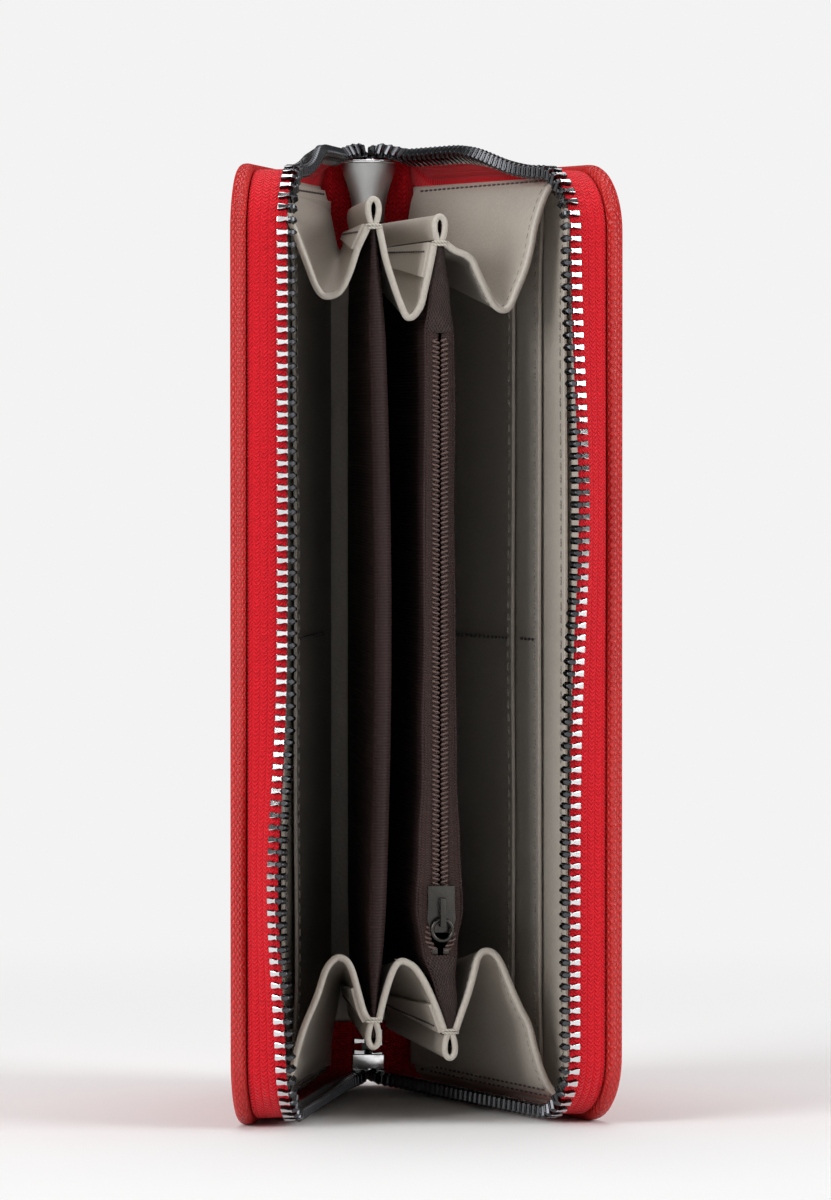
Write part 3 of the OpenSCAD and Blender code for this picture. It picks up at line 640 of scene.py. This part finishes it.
# A near-black copy of the tooth metal: painted shade and painted dark reflection on the teeth.
shaded_tooth_metal = metal("tooth_metal_painted_shade", (0.085, 0.088, 0.095), 0.24, 0.02 * mm)
satin_metal = metal("satin_slider_metal", (0.48, 0.485, 0.48), 0.36, 0.03 * mm)
dark_metal = metal("dark_nickel", (0.062, 0.058, 0.054), 0.26, 0.02 * mm)

tooth = bmesh.new()
half_widths = {0.0: 0.66, 0.9: 0.60, 1.9: 0.50, 2.3: 0.27, 2.7: 0.34, 3.15: 0.54, 3.6: 0.46, 3.9: 0.2}
bmesh.ops.create_cube(tooth, size=1)
bmesh.ops.transform(tooth, matrix=Matrix.Translation((0.5, 0, 0)), verts=tooth.verts)
bmesh.ops.scale(tooth, vec=(tooth_l, chain_t, 2 * mm), verts=tooth.verts)
for x in list(half_widths)[1:-1]:
    cut_across(tooth, (x * mm, 0, 0), (1, 0, 0))
for vert in tooth.verts:
    width = half_widths[min(half_widths, key=lambda x: abs(x * mm - vert.co.x))]
    vert.co.z = math.copysign(width * mm, vert.co.z)
    if vert.co.x > 3 * mm:
        vert.co.y *= 0.86 if vert.co.x < 3.8 * mm else 0.6
round_edges(tooth, [e for e in tooth.edges if e.calc_face_angle(0) > 0.9], 0.2 * mm, 2)
tooth.normal_update()
# The jaws' front and back faces keep the bright metal; every other face gets the near-black copy as painted
# shade and painted dark reflection.
for face in tooth.faces:
    polished = abs(face.normal.y) > 0.7 and face.calc_center_median().x < 2.3 * mm
    face.material_index = 0 if polished else 1
tooth_shape = bpy.data.meshes.new("tooth_shape")
tooth.to_mesh(tooth_shape)
tooth.free()


def add_shape(mesh, shape, matrix):
    """Adds a copy of a small finished mesh, put in place by a matrix."""
    before = len(mesh.verts)
    mesh.from_mesh(shape)
    mesh.verts.ensure_lookup_table()
    bmesh.ops.transform(mesh, matrix=matrix, verts=mesh.verts[before:])


def facing(place, ahead, along):
    """A matrix at place whose X runs ahead and whose Z is as near along as it can be."""
    x = ahead.normalized()
    y = along.cross(x).normalized()
    z = x.cross(y)
    return Matrix(((x.x, y.x, z.x, place.x), (x.y, y.y, z.y, place.y), (x.z, y.z, z.z, place.z),
                   (0, 0, 0, 1)))


for cover, side in covers.items():
    base, foot, edge = tape_rails[cover]
    lengths = [0.0]
    for a, b in zip(foot, foot[1:]):
        lengths.append(lengths[-1] + (b - a).length)
    mesh = bmesh.new()
    travelled = tooth_pitch * (0.5 if side < 0 else 1.0)
    i = 0
    while travelled < lengths[-1] - 2 * mm:
        while lengths[i + 1] < travelled:
            i += 1
        share = (travelled - lengths[i]) / (lengths[i + 1] - lengths[i])
        place = foot[i].lerp(foot[i + 1], share)
        ahead = place - base[i].lerp(base[i + 1], share)
        along = (foot[min(i + 3, len(foot) - 1)] - foot[max(i - 2, 0)])
        add_shape(mesh, tooth_shape, facing(place, ahead, along))
        travelled += tooth_pitch
    name = cover[:-6]
    teeth = make_piece(cover + "_tooth_row", mesh, (polished_metal, shaded_tooth_metal),
                       [name + "_zip_teeth", name + "_zip_teeth_ends"], smooth=False)
    bend_from(teeth)

for name in ("zip_tail_tape_top", "zip_tail_tape_bottom"):
    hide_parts(name)
for name in ("zip_tail_teeth_top", "zip_tail_teeth_bottom"):
    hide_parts(name)


def rounded_part(source, material, body, width):
    """A cast or stamped part of the frame with its edges rounded."""
    mesh = bmesh.new()
    mesh.from_mesh(frame["nodes"][source].data)
    bmesh.ops.remove_doubles(mesh, verts=mesh.verts, dist=mm / 200)
    bmesh.ops.dissolve_limit(mesh, angle_limit=math.radians(1), verts=mesh.verts, edges=mesh.edges)
    part = make_piece(source + "_rounded", mesh, material, [source])
    ease_edges(part, width, 35)
    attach(part, body)


rounded_part("zip_bottom_stop", polished_metal, "spine", 0.25 * mm)

# ---- Slider and pull ----
# Die-cast slider in satin metal, parked with its wide end up at the top of the spine. Its front is a tapered
# shell with a lip, a bright post parts the two rows above it, and a plain tab hangs behind.

shell_low, shell_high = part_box("zip_slider_body")
# Half of the shell's width in millimetres at shares of its height, and how it wraps round the rows.
shell_widths = [(0, 3.2), (0.3, 3.4), (0.62, 4.4), (0.85, 5.5), (1, 5.7)]
shell_arc = math.radians(164)
shell_depth = 1.5 * mm
shell_proud = 0.6 * mm
post_size = (1.8 * mm, 2.8 * mm, 5 * mm)


def spline(points, share):
    """A smooth curve through points: (x, y) at a share of the way from first to last."""
    where = max(0.0, min(1.0, share)) * (len(points) - 1)
    i = min(int(where), len(points) - 2)
    t = where - i
    p = [points[max(0, min(len(points) - 1, i + k))] for k in (-1, 0, 1, 2)]
    return [0.5 * (2 * b + (c - a) * t + (2 * a - 5 * b + 4 * c - d) * t * t
                   + (3 * b - a - 3 * c + d) * t ** 3)
            for a, b, c, d in zip(*p)]


def tube_mesh(points, radius, sides):
    """A round strand along points, as mesh data."""
    curve = bpy.data.curves.new("strand", "CURVE")
    curve.dimensions = "3D"
    curve.bevel_depth = radius
    curve.bevel_resolution = sides
    curve.use_fill_caps = True
    line = curve.splines.new("POLY")
    line.points.add(len(points) - 1)
    for point, place in zip(line.points, points):
        point.co = (*place, 1)
    holder = bpy.data.objects.new("strand", curve)
    data = bpy.data.meshes.new_from_object(holder)
    bpy.data.objects.remove(holder)
    return data


def shell_place(u, v):
    share, half = spline(shell_widths, v)
    turn = (u - 0.5) * shell_arc
    return Vector((half * mm * math.sin(turn), shell_low.y - shell_proud + shell_depth * (1 - math.cos(turn)),
                   shell_low.z + share * (shell_high.z - shell_low.z)))


shell = make_piece("slider_front_shell", cloth_grid(28, 24, (12 * mm, 13 * mm), shell_place), satin_metal,
                   ["zip_slider_body"])
thicken(shell, 0.8 * mm, 0.25 * mm)
lip = bmesh.new()
lip.from_mesh(tube_mesh([shell_place(step / 30, 1) for step in range(31)], 0.5 * mm, 3))
bmesh.ops.create_cube(lip, size=1, matrix=Matrix.Translation((0, tail_y, shell_high.z - 1.5 * mm))
                      @ Matrix.Diagonal((*post_size, 1)))
post_edges = [e for e in lip.edges if len(e.link_faces) == 2 and e.calc_length() > 1.5 * mm]
round_edges(lip, post_edges, 0.4 * mm, 3)
post = make_piece("slider_lip_and_post", lip, polished_metal)
for piece in (shell, post):
    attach(piece, "zip_slider")
rounded_part("zip_slider_crown", satin_metal, "zip_slider", 0.35 * mm)
rounded_part("zip_pull_tab", satin_metal, "zip_pull", 0.3 * mm)

# ---- Card pockets ----
# Three panels of taupe leather on each cover, each a step deeper than the one behind it, with turned edges,
# a row of stitches beside each edge and one row across the middle that parts the pockets.

panel_t = 0.8 * mm
panel_step = 11 * mm
first_edge = cover_d - 15 * mm
panel_end = 5.5 * mm
panel_start = 8.5 * mm
card_layer = panel_t + 0.1 * mm
panel_inward = lining_inward + lining_t + 0.3 * mm + panel_t / 2
thread_r = 0.24 * mm


def thread_colour(name, colour):
    """Twisted sewing thread, with painted shade in the grooves of its twist."""
    material, tree, shader = new_material(name)
    coordinates = node(tree, "TexCoord").outputs["Object"]
    strands = {"Vector": coordinates, "Scale": 900.0, "Distortion": 2.0}
    twist = node(tree, "TexWave", strands, bands_direction="DIAGONAL").outputs[1]
    # Painted shade: the colour darkens with the twist's grooves, following the same pattern as the bump.
    tone = two_tone(tree, twist, [c * 0.6 for c in colour], colour)
    bump = node(tree, "Bump", {"Height": twist, "Distance": 0.05 * mm}).outputs[0]
    send(tree, shader, {"Base Color": tone, "Normal": bump})
    shader.inputs["Roughness"].default_value = 0.7
    shader.inputs["Sheen Weight"].default_value = 0.2
    return material


taupe_thread = thread_colour("taupe_thread", (0.36, 0.32, 0.28))
brown_thread = thread_colour("brown_thread", (0.06, 0.045, 0.04))
cream_thread = thread_colour("cream_thread", (0.62, 0.58, 0.50))


def sew(mesh, points, spacing, radius=thread_r):
    """Lays one stitch after another along a line of points."""
    left = spacing / 2
    for a, b in zip(points, points[1:]):
        length = (b - a).length
        while left < length:
            place = a.lerp(b, left / length)
            turn = (b - a).to_track_quat("X", "Z").to_matrix().to_4x4()
            shape = Matrix.Diagonal((spacing * 0.40, radius, radius, 1))
            matrix = Matrix.Translation(place) @ turn @ shape
            bmesh.ops.create_uvsphere(mesh, u_segments=6, v_segments=4, radius=1, matrix=matrix)
            left += spacing
        left -= length


def panel_point(side, layer, depth, up, raised=0.0):
    """A point of a panel, layers up from the lining. Each panel's mouth edge stands a little open."""
    mouth_edge = first_edge - layer * panel_step
    height_share = (up - panel_end) / (wallet_h - 2 * panel_end)
    slack = 0.7 * mm + 0.5 * mm * noise.noise(Vector((height_share * 3, layer * 3.1, side * 7)))
    near_mouth = ease((depth - mouth_edge + 14 * mm) / (14 * mm))
    lift = slack * near_mouth * ease(min(height_share, 1 - height_share) / 0.12)
    return on_cover(side, panel_inward + layer * card_layer + lift + raised, depth, up)


for cover, side in covers.items():
    seams = bmesh.new()
    for layer, number in enumerate((3, 2, 1)):
        mouth_edge = first_edge - layer * panel_step
        size = (mouth_edge - panel_start, wallet_h - 2 * panel_end)

        def panel_place(u, v):
            return panel_point(side, layer, panel_start + u * size[0], panel_end + v * size[1])

        panel = make_piece(f"{cover}_card_panel_{number}", cloth_grid(24, 48, size, panel_place),
                           taupe_leather, [f"{cover[:-6]}_card_pocket_{number}"])
        thicken(panel, panel_t, 0.28 * mm)
        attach(panel, cover)
        beside_edge = mouth_edge - 1.6 * mm
        ends_clear = 2 * mm
        run_low = panel_end + ends_clear
        run_l = size[1] - 2 * ends_clear
        run = [panel_point(side, layer, beside_edge, run_low + run_l * step / 40,
                           panel_t / 2 + 0.4 * thread_r) for step in range(41)]
        sew(seams, run, 2.6 * mm)
    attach(make_piece(cover + "_card_stitching", seams, taupe_thread), cover)
    middle_seam = bmesh.new()
    seam_z = wallet_h / 2 + 0.4 * mm
    for layer, low in ((2, 20 * mm), (1, first_edge - 2 * panel_step + 0.8 * mm)):
        high = first_edge - layer * panel_step - 0.6 * mm
        run = [panel_point(side, layer, low + (high - low) * step / 20, seam_z, panel_t / 2 + 0.1 * mm)
               for step in range(21)]
        sew(middle_seam, run, 2.2 * mm, 0.34 * mm)
    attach(make_piece(cover + "_middle_stitching", middle_seam, brown_thread), cover)

# ---- Bill divider ----
# A doubled sheet of dark brown ribbed cloth whose front edge is a soft fold. It swings between the gussets.

bill_pivot = Vector(joints["bill_divider_swing"]["pos_m"])
coin_pivot = Vector(joints["coin_pocket_swing"]["pos_m"])
bill_fan = math.radians(-4.4)
coin_fan = math.radians(1.4)
divider_front = 14 * mm - cover_d + hinge.y
cloth_t = 0.5 * mm


def on_divider(pivot, fan, across, y, up):
    """A point of a divider, drawn straight behind its pivot and turned about it by its fan angle."""
    ahead = y - pivot.y
    return Vector((pivot.x + across * math.cos(fan) - ahead * math.sin(fan),
                   pivot.y + across * math.sin(fan) + ahead * math.cos(fan), up))


# Ribbed lining cloth: fine ribs across the piece with threads over them.
ribbed, do, given, result = new_pattern("ribbed", 70.0, 3.0)
thread = node(ribbed, "SeparateXYZ", {0: given["Vector"]}).outputs
ribs = do("SINE", do("MULTIPLY", do("DIVIDE", thread[1], given["Pitch"]), 2 * math.pi))
cross = do("SINE", do("MULTIPLY", do("DIVIDE", thread[0], given["Pitch"]), 2.6 * math.pi))
height = do("MULTIPLY_ADD", ribs, 0.38, do("MULTIPLY_ADD", cross, 0.12, 0.5))
send(ribbed, result, {"Height": height})

brown_cloth = cloth("brown_ribbed_cloth", ribbed, 0.62 * mm, (0.010, 0.005, 0.005), (0.062, 0.036, 0.034),
                    0.09 * mm, 0.6, 0.0)
divider_back = bill_pivot.y + 1 * mm


def waist(v):
    """The dividers are pinched to nothing at both ends and full in the middle."""
    return ease(min(v, 1 - v) / 0.16)


bill_low, bill_high = 17.5 * mm, wallet_h - 10.5 * mm


def bill_place(u, v):
    front = u < 0.5
    back_share = abs(u - 0.5) * 2
    y = divider_front + back_share * (divider_back - divider_front)
    fold = math.sqrt(min(1.0, back_share / 0.02)) if back_share < 0.02 else 1.0
    half = (0.3 * mm + (1.15 - 0.7 * back_share) * mm * waist(v)) * fold
    bow = 2.2 * mm * math.sin(math.pi * v) * (1 - back_share)
    up = bill_low + v * (bill_high - bill_low)
    return on_divider(bill_pivot, bill_fan, (-half if front else half) + bow, y, up)


mesh = cloth_grid(64, 60, (2 * (divider_back - divider_front), bill_high - bill_low), bill_place)
bill = make_piece("bill_divider_cloth", mesh, brown_cloth, ["bill_divider"])
thicken(bill, cloth_t)
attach(bill, "bill_divider")
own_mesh(bill)

# ---- Coin pocket ----
# A flat bag of the same cloth with a coil zip in its front edge, fullest beside the parked slider, and
# cloth patches that close the front above and below the zip.

coin_zip_low, coin_zip_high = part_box("coin_zip_tape_front")
slider_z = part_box("coin_slider_body")[0].z
widths = [(11.5, 0.5), (19, 0.8), (28, 1.9), (36, 3.4), (44, 4.6), (56, 4.0), (72, 3.3), (110, 3.0),
          (140, 2.9), (160, 2.8), (168, 1.9), (177, 0.8), (183.5, 0.5)]
foot_lean = 2.1 * mm


def pocket_half(z):
    """Half of the pocket's width at a height."""
    z = z / mm
    for (z0, w0), (z1, w1) in zip(widths, widths[1:]):
        if z <= z1:
            return (w0 + (w1 - w0) * ease((z - z0) / (z1 - z0))) * mm
    return widths[-1][1] * mm


pocket_low, pocket_high = 15.5 * mm, wallet_h - 12 * mm


def on_pocket(across, y, z):
    """A point of the coin pocket, whose foot leans towards the back cover."""
    return on_divider(coin_pivot, coin_fan, across + foot_lean * ease((38 * mm - z) / (18 * mm)), y, z)


def ride_and_flatten(obj):
    """A soft piece of the pocket, attached to the pocket with a mesh of its own."""
    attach(obj, "coin_pocket")
    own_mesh(obj)


for name, hand in (("front", -1), ("back", 1)):
    def wall_place(u, v):
        z = pocket_low + v * (pocket_high - pocket_low)
        y = divider_front + 0.2 * mm + u * (divider_back - divider_front - 0.2 * mm)
        narrow = 1 - 0.35 * ease((u - 0.6) / 0.4)
        sag = 0.35 * mm * noise.noise(Vector((u * 3, v * 7, hand * 5))) * waist(v)
        return on_pocket(hand * (pocket_half(z) * narrow + sag), y, z)

    mesh = cloth_grid(36, 80, (divider_back - divider_front, pocket_high - pocket_low), wall_place)
    wall = make_piece(f"coin_pocket_{name}_cloth", mesh, brown_cloth,
                      [f"coin_pocket_{name}_wall"])
    thicken(wall, cloth_t)
    ride_and_flatten(wall)

brown_tape = cloth("brown_zip_tape", herringbone, 0.5 * mm, (0.014, 0.008, 0.007), (0.080, 0.046, 0.040),
                   0.09 * mm, 0.7, 0.0)
zip_low, zip_high = coin_zip_low.z, coin_zip_high.z
row_apart = 0.45 * mm


def row_x(z):
    """How far each row of coil runs from the middle: meshed above the slider, parted under it."""
    parting = slider_z + 7 * mm
    if z >= parting:
        return row_apart
    wide = slider_z - 1 * mm
    if z >= wide:
        return row_apart + 1.5 * mm * ease((parting - z) / (parting - wide))
    return 0.7 * mm + 1.42 * mm * ease((z - zip_low) / (wide - zip_low))


for name, hand in (("front", -1), ("back", 1)):
    def coin_tape_place(u, v):
        z = zip_low - 1 * mm + v * (zip_high - zip_low + 2 * mm)
        inner = row_x(z) - 0.15 * mm
        outer = max(pocket_half(z) - 0.1 * mm, inner + 0.3 * mm)
        across = inner + (outer - inner) * u
        swell = 0.25 * mm * math.sin(math.pi * min(1, u * 1.2))
        y = divider_front - swell + 0.5 * mm * ease((u - 0.75) / 0.25)
        return on_pocket(hand * across, y, z)

    mesh = cloth_grid(8, 120, (3 * mm, zip_high - zip_low), coin_tape_place)
    side_tape = make_piece(f"coin_tape_{name}_band", mesh, brown_tape,
                           [f"coin_zip_tape_{name}"])
    thicken(side_tape, 0.4 * mm)
    soften(side_tape, 1)
    ride_and_flatten(side_tape)

# Diagonal weave of the patches: short raised threads in slanting rows.
twill, do, given, result = new_pattern("twill", 300.0, 3.0)
thread = node(twill, "SeparateXYZ", {0: given["Vector"]}).outputs
slants = [do("DIVIDE", do("MULTIPLY_ADD", thread[0], slope, thread[1]), given["Pitch"])
          for slope in (1.3, -1.3)]
waves = [do("SINE", do("MULTIPLY", line, 2 * math.pi)) for line in slants]
height = do("MULTIPLY_ADD", do("ADD", waves[0], waves[1]), 0.25, 0.5)
send(twill, result, {"Height": height})
patch_weave = cloth("brown_patch_cloth", twill, 1.1 * mm, (0.003, 0.002, 0.002), (0.105, 0.072, 0.066),
                    0.4 * mm, 0.5, 0.0)
patch_spans = {"top": (zip_high + 0.2 * mm, pocket_high - 2 * mm),
               "bottom": (pocket_low + 2 * mm, zip_low - 0.2 * mm)}
for name, (low, high) in patch_spans.items():
    def patch_place(u, v):
        z = low + v * (high - low)
        across = (2 * u - 1) * (pocket_half(z) - 0.1 * mm)
        bulge = 0.9 * mm * math.cos((u - 0.5) * math.pi) * min(1.0, pocket_half(z) / (2 * mm))
        return on_pocket(across, divider_front + 0.3 * mm - bulge, z)

    mesh = cloth_grid(12, 40, (7 * mm, high - low), patch_place)
    patch = make_piece(f"coin_patch_{name}", mesh, patch_weave, [f"coin_zip_patch_{name}"])
    thicken(patch, 0.4 * mm)
    ride_and_flatten(patch)


def nylon(name, colour):
    """Moulded nylon: satin, with a faint streak along the strand."""
    material, tree, shader = new_material(name)
    coordinates = node(tree, "TexCoord").outputs["Object"]
    streak = mottle(tree, coordinates, 700.0, 3.0)
    tone = two_tone(tree, streak, [c * 0.7 for c in colour], colour)
    send(tree, shader, {"Base Color": tone, "Roughness": calc(tree, "MULTIPLY_ADD", streak, 0.2, 0.25)})
    return material


brown_nylon = nylon("brown_coil_nylon", (0.135, 0.084, 0.072))


coil_pitch = 1.0 * mm
coil_half_w = 0.62 * mm
coil_half_d = 0.42 * mm
strand_r = 0.24 * mm
turn_steps = 9
for name, hand in (("front", -1), ("back", 1)):
    strand = []
    count = int((zip_high - zip_low - 1.5 * mm) / coil_pitch * turn_steps)
    for i in range(count):
        z = zip_low + 0.6 * mm + i * coil_pitch / turn_steps
        turn = 2 * math.pi * i / turn_steps + (0 if hand < 0 else math.pi)
        across = row_x(z) + 0.42 * mm + coil_half_w * math.cos(turn)
        y = divider_front - 0.62 * mm + coil_half_d * math.sin(turn)
        strand.append(on_pocket(hand * across, y, z))
    mesh = bmesh.new()
    mesh.from_mesh(tube_mesh(strand, strand_r, 1))
    coil = make_piece(f"coin_coil_{name}_row", mesh, brown_nylon, [f"coin_zip_coil_{name}"])
    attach(coil, "coin_pocket")

rounded_part("coin_slider_body", dark_metal, "coin_slider", 0.2 * mm)
rounded_part("coin_slider_crown", dark_metal, "coin_slider", 0.15 * mm)
rounded_part("coin_zip_stop", dark_metal, "coin_pocket", 0.1 * mm)
ring_materials = frame["nodes"]["coin_pull_ring"].data.materials
ring_materials.clear()
ring_materials.append(dark_metal)

# ---- Gussets ----
# Taupe leather strips with rolled, stitched edges, folded to three pleats at the top and three at the
# bottom. Between the pleats the leather loops over the ends of the dividers and is tacked together there
# with cream thread.

gusset_t = 0.9 * mm
bead_r = 0.72 * mm
gusset_front = divider_front
gusset_gap = 4 * mm
pleat_inward = 4.3 * mm
pleat_mouth, pleat_depth = 84 * mm, 75 * mm
ridge = {("bill", "top"): 12.7, ("coin", "top"): 16.1, ("bill", "bottom"): 21.2, ("coin", "bottom"): 18.7}
dividers = {"bill": (bill_pivot, bill_fan, "bill_divider"), "coin": (coin_pivot, coin_fan, "coin_pocket")}
# Each pleat's folded edge: share of the way across, and millimetres from the wallet's end.
folds = {
    ("top", "front"): [(0, 3.4), (0.12, 8), (0.24, 13), (0.31, 16.8), (0.392, 21), (0.472, 25),
                       (0.554, 26.8), (0.656, 26.6), (0.737, 25.2), (0.817, 21.8), (0.888, 17.5),
                       (0.95, 14.8), (1, 12.7)],
    ("top", "middle"): [(0, 12.7), (0.06, 16), (0.133, 19.8), (0.277, 25), (0.406, 28.9), (0.48, 30.7),
                        (0.54, 31.2), (0.64, 30.7), (0.76, 28.6), (0.83, 25.4), (0.90, 21.8),
                        (0.96, 18.5), (1, 16.1)],
    ("top", "back"): [(0, 16.1), (0.083, 17.6), (0.164, 18.4), (0.225, 19.6), (0.263, 21.6), (0.329, 25),
                      (0.387, 27.8), (0.437, 29.2), (0.495, 29.6), (0.544, 28.6), (0.594, 25.7),
                      (0.661, 21.7), (0.71, 17.3), (0.743, 12.9), (0.802, 8), (0.876, 4.4), (1, 3)],
    ("bottom", "front"): [(0, 4), (0.12, 7), (0.217, 10.6), (0.275, 15.2), (0.355, 20.2), (0.47, 25.6),
                          (0.562, 31.1), (0.63, 33.1), (0.698, 33.9), (0.78, 33.2), (0.837, 31.1),
                          (0.895, 27), (0.952, 23), (1, 21.2)],
    ("bottom", "middle"): [(0, 21.2), (0.076, 25.6), (0.18, 30.1), (0.267, 32.4), (0.353, 33.1),
                           (0.459, 32.6), (0.563, 31.5), (0.70, 28.7), (0.841, 24.6), (0.94, 21),
                           (1, 18.7)],
    ("bottom", "back"): [(0, 18.7), (0.056, 22.3), (0.118, 26.3), (0.169, 30.4), (0.2, 33.2),
                         (0.24, 34.6), (0.301, 34.9), (0.363, 34.1), (0.423, 32), (0.505, 27.5),
                         (0.587, 23.3), (0.669, 19.6), (0.72, 15.1), (0.79, 10), (0.87, 6.4), (1, 3.8)],
}


def at_end(end, height):
    return wallet_h - height if end == "top" else height


def ridge_point(end, which, across, y, height):
    """A point beside a divider at one end; height is from the wallet's end."""
    pivot, fan = dividers[which][:2]
    z = at_end(end, height)
    return on_pocket(across, y, z) if which == "coin" else on_divider(pivot, fan, across, y, z)


def pleat_point(end, name, share, v, raised=0.0):
    """A point of a pleat: share along its edge, v from the mouth to the back, raised off its middle."""
    y = gusset_front + v * (bill_pivot.y - gusset_gap - gusset_front)
    cover_point = {side: on_cover(side, pleat_inward, pleat_mouth - v * pleat_depth, 0) for side in (-1, 1)}
    sides = {"front": (cover_point[-1], ridge_point(end, "bill", -1.1 * mm, y, ridge["bill", end] * mm)),
             "middle": (ridge_point(end, "bill", 1.1 * mm, y, ridge["bill", end] * mm),
                        ridge_point(end, "coin", -1.1 * mm, y, ridge["coin", end] * mm)),
             "back": (ridge_point(end, "coin", 1.1 * mm, y, ridge["coin", end] * mm), cover_point[1])}
    left, right = sides[name]
    fold = folds[end, name]
    t, depth = spline(fold, share)
    straight = fold[0][1] + (fold[-1][1] - fold[0][1]) * t
    depth = straight + (depth - straight) * (1 - 0.6 * v)
    point = left.lerp(right, t)
    point.z = at_end(end, depth * mm)
    if raised:
        farther = pleat_point(end, name, min(1, share + 0.01), v)
        along = farther - pleat_point(end, name, max(0, share - 0.01), v)
        back = pleat_point(end, name, share, v + 0.01) - pleat_point(end, name, share, v - 0.01)
        point += along.cross(back).normalized() * raised
    return point


# A touch lighter than the sheet leather: a faint painted highlight along the rolled edges.
taupe_edge = leather("taupe_rolled_edge", fine_grain, 0.6 * mm, (0.38, 0.345, 0.30), (0.54, 0.50, 0.44),
                     0.05 * mm, 0.4, on_uv=False)


def thread_from(mesh, first):
    """Gives the faces that were added last to the second material, which is thread."""
    mesh.faces.ensure_lookup_table()
    for face in mesh.faces[first:]:
        face.material_index = 1


for end in ("top", "bottom"):
    parts = [("front", "front", 0, 1), ("middle", "middle_left", 0, 0.5), ("middle", "middle_right", 0.5, 1),
             ("back", "back", 0, 1)]
    for name, title, low, high in parts:
        def pleat_place(u, v):
            return pleat_point(end, name, low + u * (high - low), v)

        first, last = pleat_point(end, name, 0, 0), pleat_point(end, name, 1, 0)
        halfway = spline(folds[end, name], 0.5)[0]
        body, a, b, reach = {
            "front": ("front_cover", first, last, 1 / 0.674), "back": ("back_cover", last, first, 1 / 0.825),
            "middle_left": ("bill_divider", first, last, halfway),
            "middle_right": ("coin_pocket", last, first, 1 - halfway)}[title]
        mesh = cloth_grid(40 if name != "middle" else 24, 24, (70 * mm * (high - low), 76 * mm), pleat_place)
        pleat = make_piece(f"pleat_{end}_{title}", mesh, taupe_leather,
                           [f"gusset_{end}_{name}"])
        thicken(pleat, gusset_t, 0.4 * mm)
        rim = [pleat_place(step / 60, 0) for step in range(61)]
        trim = bmesh.new()
        trim.from_mesh(tube_mesh(rim, bead_r, 3))
        beads = len(trim.faces)
        for hand in (-1, 1):
            shares = [low + (0.03 + 0.94 * step / 60) * (high - low) for step in range(61)]
            line = [pleat_point(end, name, share, 0.026, hand * gusset_t / 2) for share in shares]
            sew(trim, line, 1.9 * mm, 0.16 * mm)
        thread_from(trim, beads)
        edging = make_piece(f"pleat_{end}_{title}_edge", trim, (taupe_edge, taupe_thread))
        pieces = [pleat, edging]
        if name != "middle":
            seam = bmesh.new()
            outer = 1 if name == "back" else 0
            face = (1 if end == "top" else -1) * (gusset_t / 2 + 0.05 * mm)
            for inset in ((0.035,) if end == "top" else (0.035, 0.065)):
                line = [pleat_point(end, name, abs(outer - inset), 0.03 + 0.94 * step / 30, face)
                        for step in range(31)]
                sew(seam, line, 2.4 * mm, 0.26 * mm)
            pieces.append(make_piece(f"pleat_{end}_{title}_seam", seam, brown_thread))
        for piece in pieces:
            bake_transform(piece)

# The loops over the dividers' ends, each with a stitched flap down the divider's front side, and the tacks.
loop_h = {"bill": 5.5 * mm, "coin": 5.4 * mm}
loop_half = 1.15 * mm
for end in ("top", "bottom"):
    for which, (pivot, fan, body) in dividers.items():
        def loop_place(u, v):
            turn = 2 * math.pi * (0.03 + 0.94 * u)
            across = -loop_half * math.sin(turn) * (0.5 + 0.5 * math.sin(turn / 2) ** 2) * 1.2
            height = ridge[which, end] * mm - loop_h[which] * (0.5 - 0.5 * math.cos(turn))
            y = gusset_front + v * (pivot.y - gusset_gap - gusset_front)
            return ridge_point(end, which, across, y, height)

        loop = make_piece(f"{which}_loop_{end}", cloth_grid(24, 16, (14 * mm, 76 * mm), loop_place),
                          taupe_leather, [f"{body}_binding_{end}"])
        thicken(loop, 0.8 * mm, 0.3 * mm)
        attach(loop, body)
        pleat_name = "front" if which == "bill" else "middle"

        def flap_place(u, v):
            share = 1 - 0.2 * u if which == "coin" else 1 - 0.17 * u
            return pleat_point(end, pleat_name, share, v, (0.9 if end == "top" else -0.9) * mm)

        flap = make_piece(f"{which}_flap_{end}", cloth_grid(10, 20, (5 * mm, 70 * mm), flap_place),
                          taupe_leather)
        thicken(flap, 0.7 * mm, 0.3 * mm)
        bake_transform(flap)
        trim = bmesh.new()
        trim.from_mesh(tube_mesh([loop_place(step / 40, 0) for step in range(41)], bead_r * 0.9, 3))
        beads = len(trim.faces)
        for lift in (-0.3, 0.3):
            place = ridge_point(end, which, 0, gusset_front - 0.7 * mm, (ridge[which, end] + lift) * mm)
            shape = Matrix.Diagonal((1.9 * mm, 0.35 * mm, 0.3 * mm, 1))
            matrix = Matrix.Translation(place) @ shape
            bmesh.ops.create_uvsphere(trim, u_segments=10, v_segments=6, radius=1, matrix=matrix)
        thread_from(trim, beads)
        edging = make_piece(f"{which}_loop_{end}_edge", trim, (taupe_edge, cream_thread))
        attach(edging, body)
        seam = bmesh.new()
        sign = 1 if end == "top" else -1
        line = [pleat_point(end, pleat_name, 0.93, 0.03 + 0.9 * step / 30, sign * 1.35 * mm)
                for step in range(31)]
        sew(seam, line, 2.2 * mm, 0.22 * mm)
        stitching = make_piece(f"{which}_flap_{end}_stitching", seam, brown_thread)
        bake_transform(stitching)
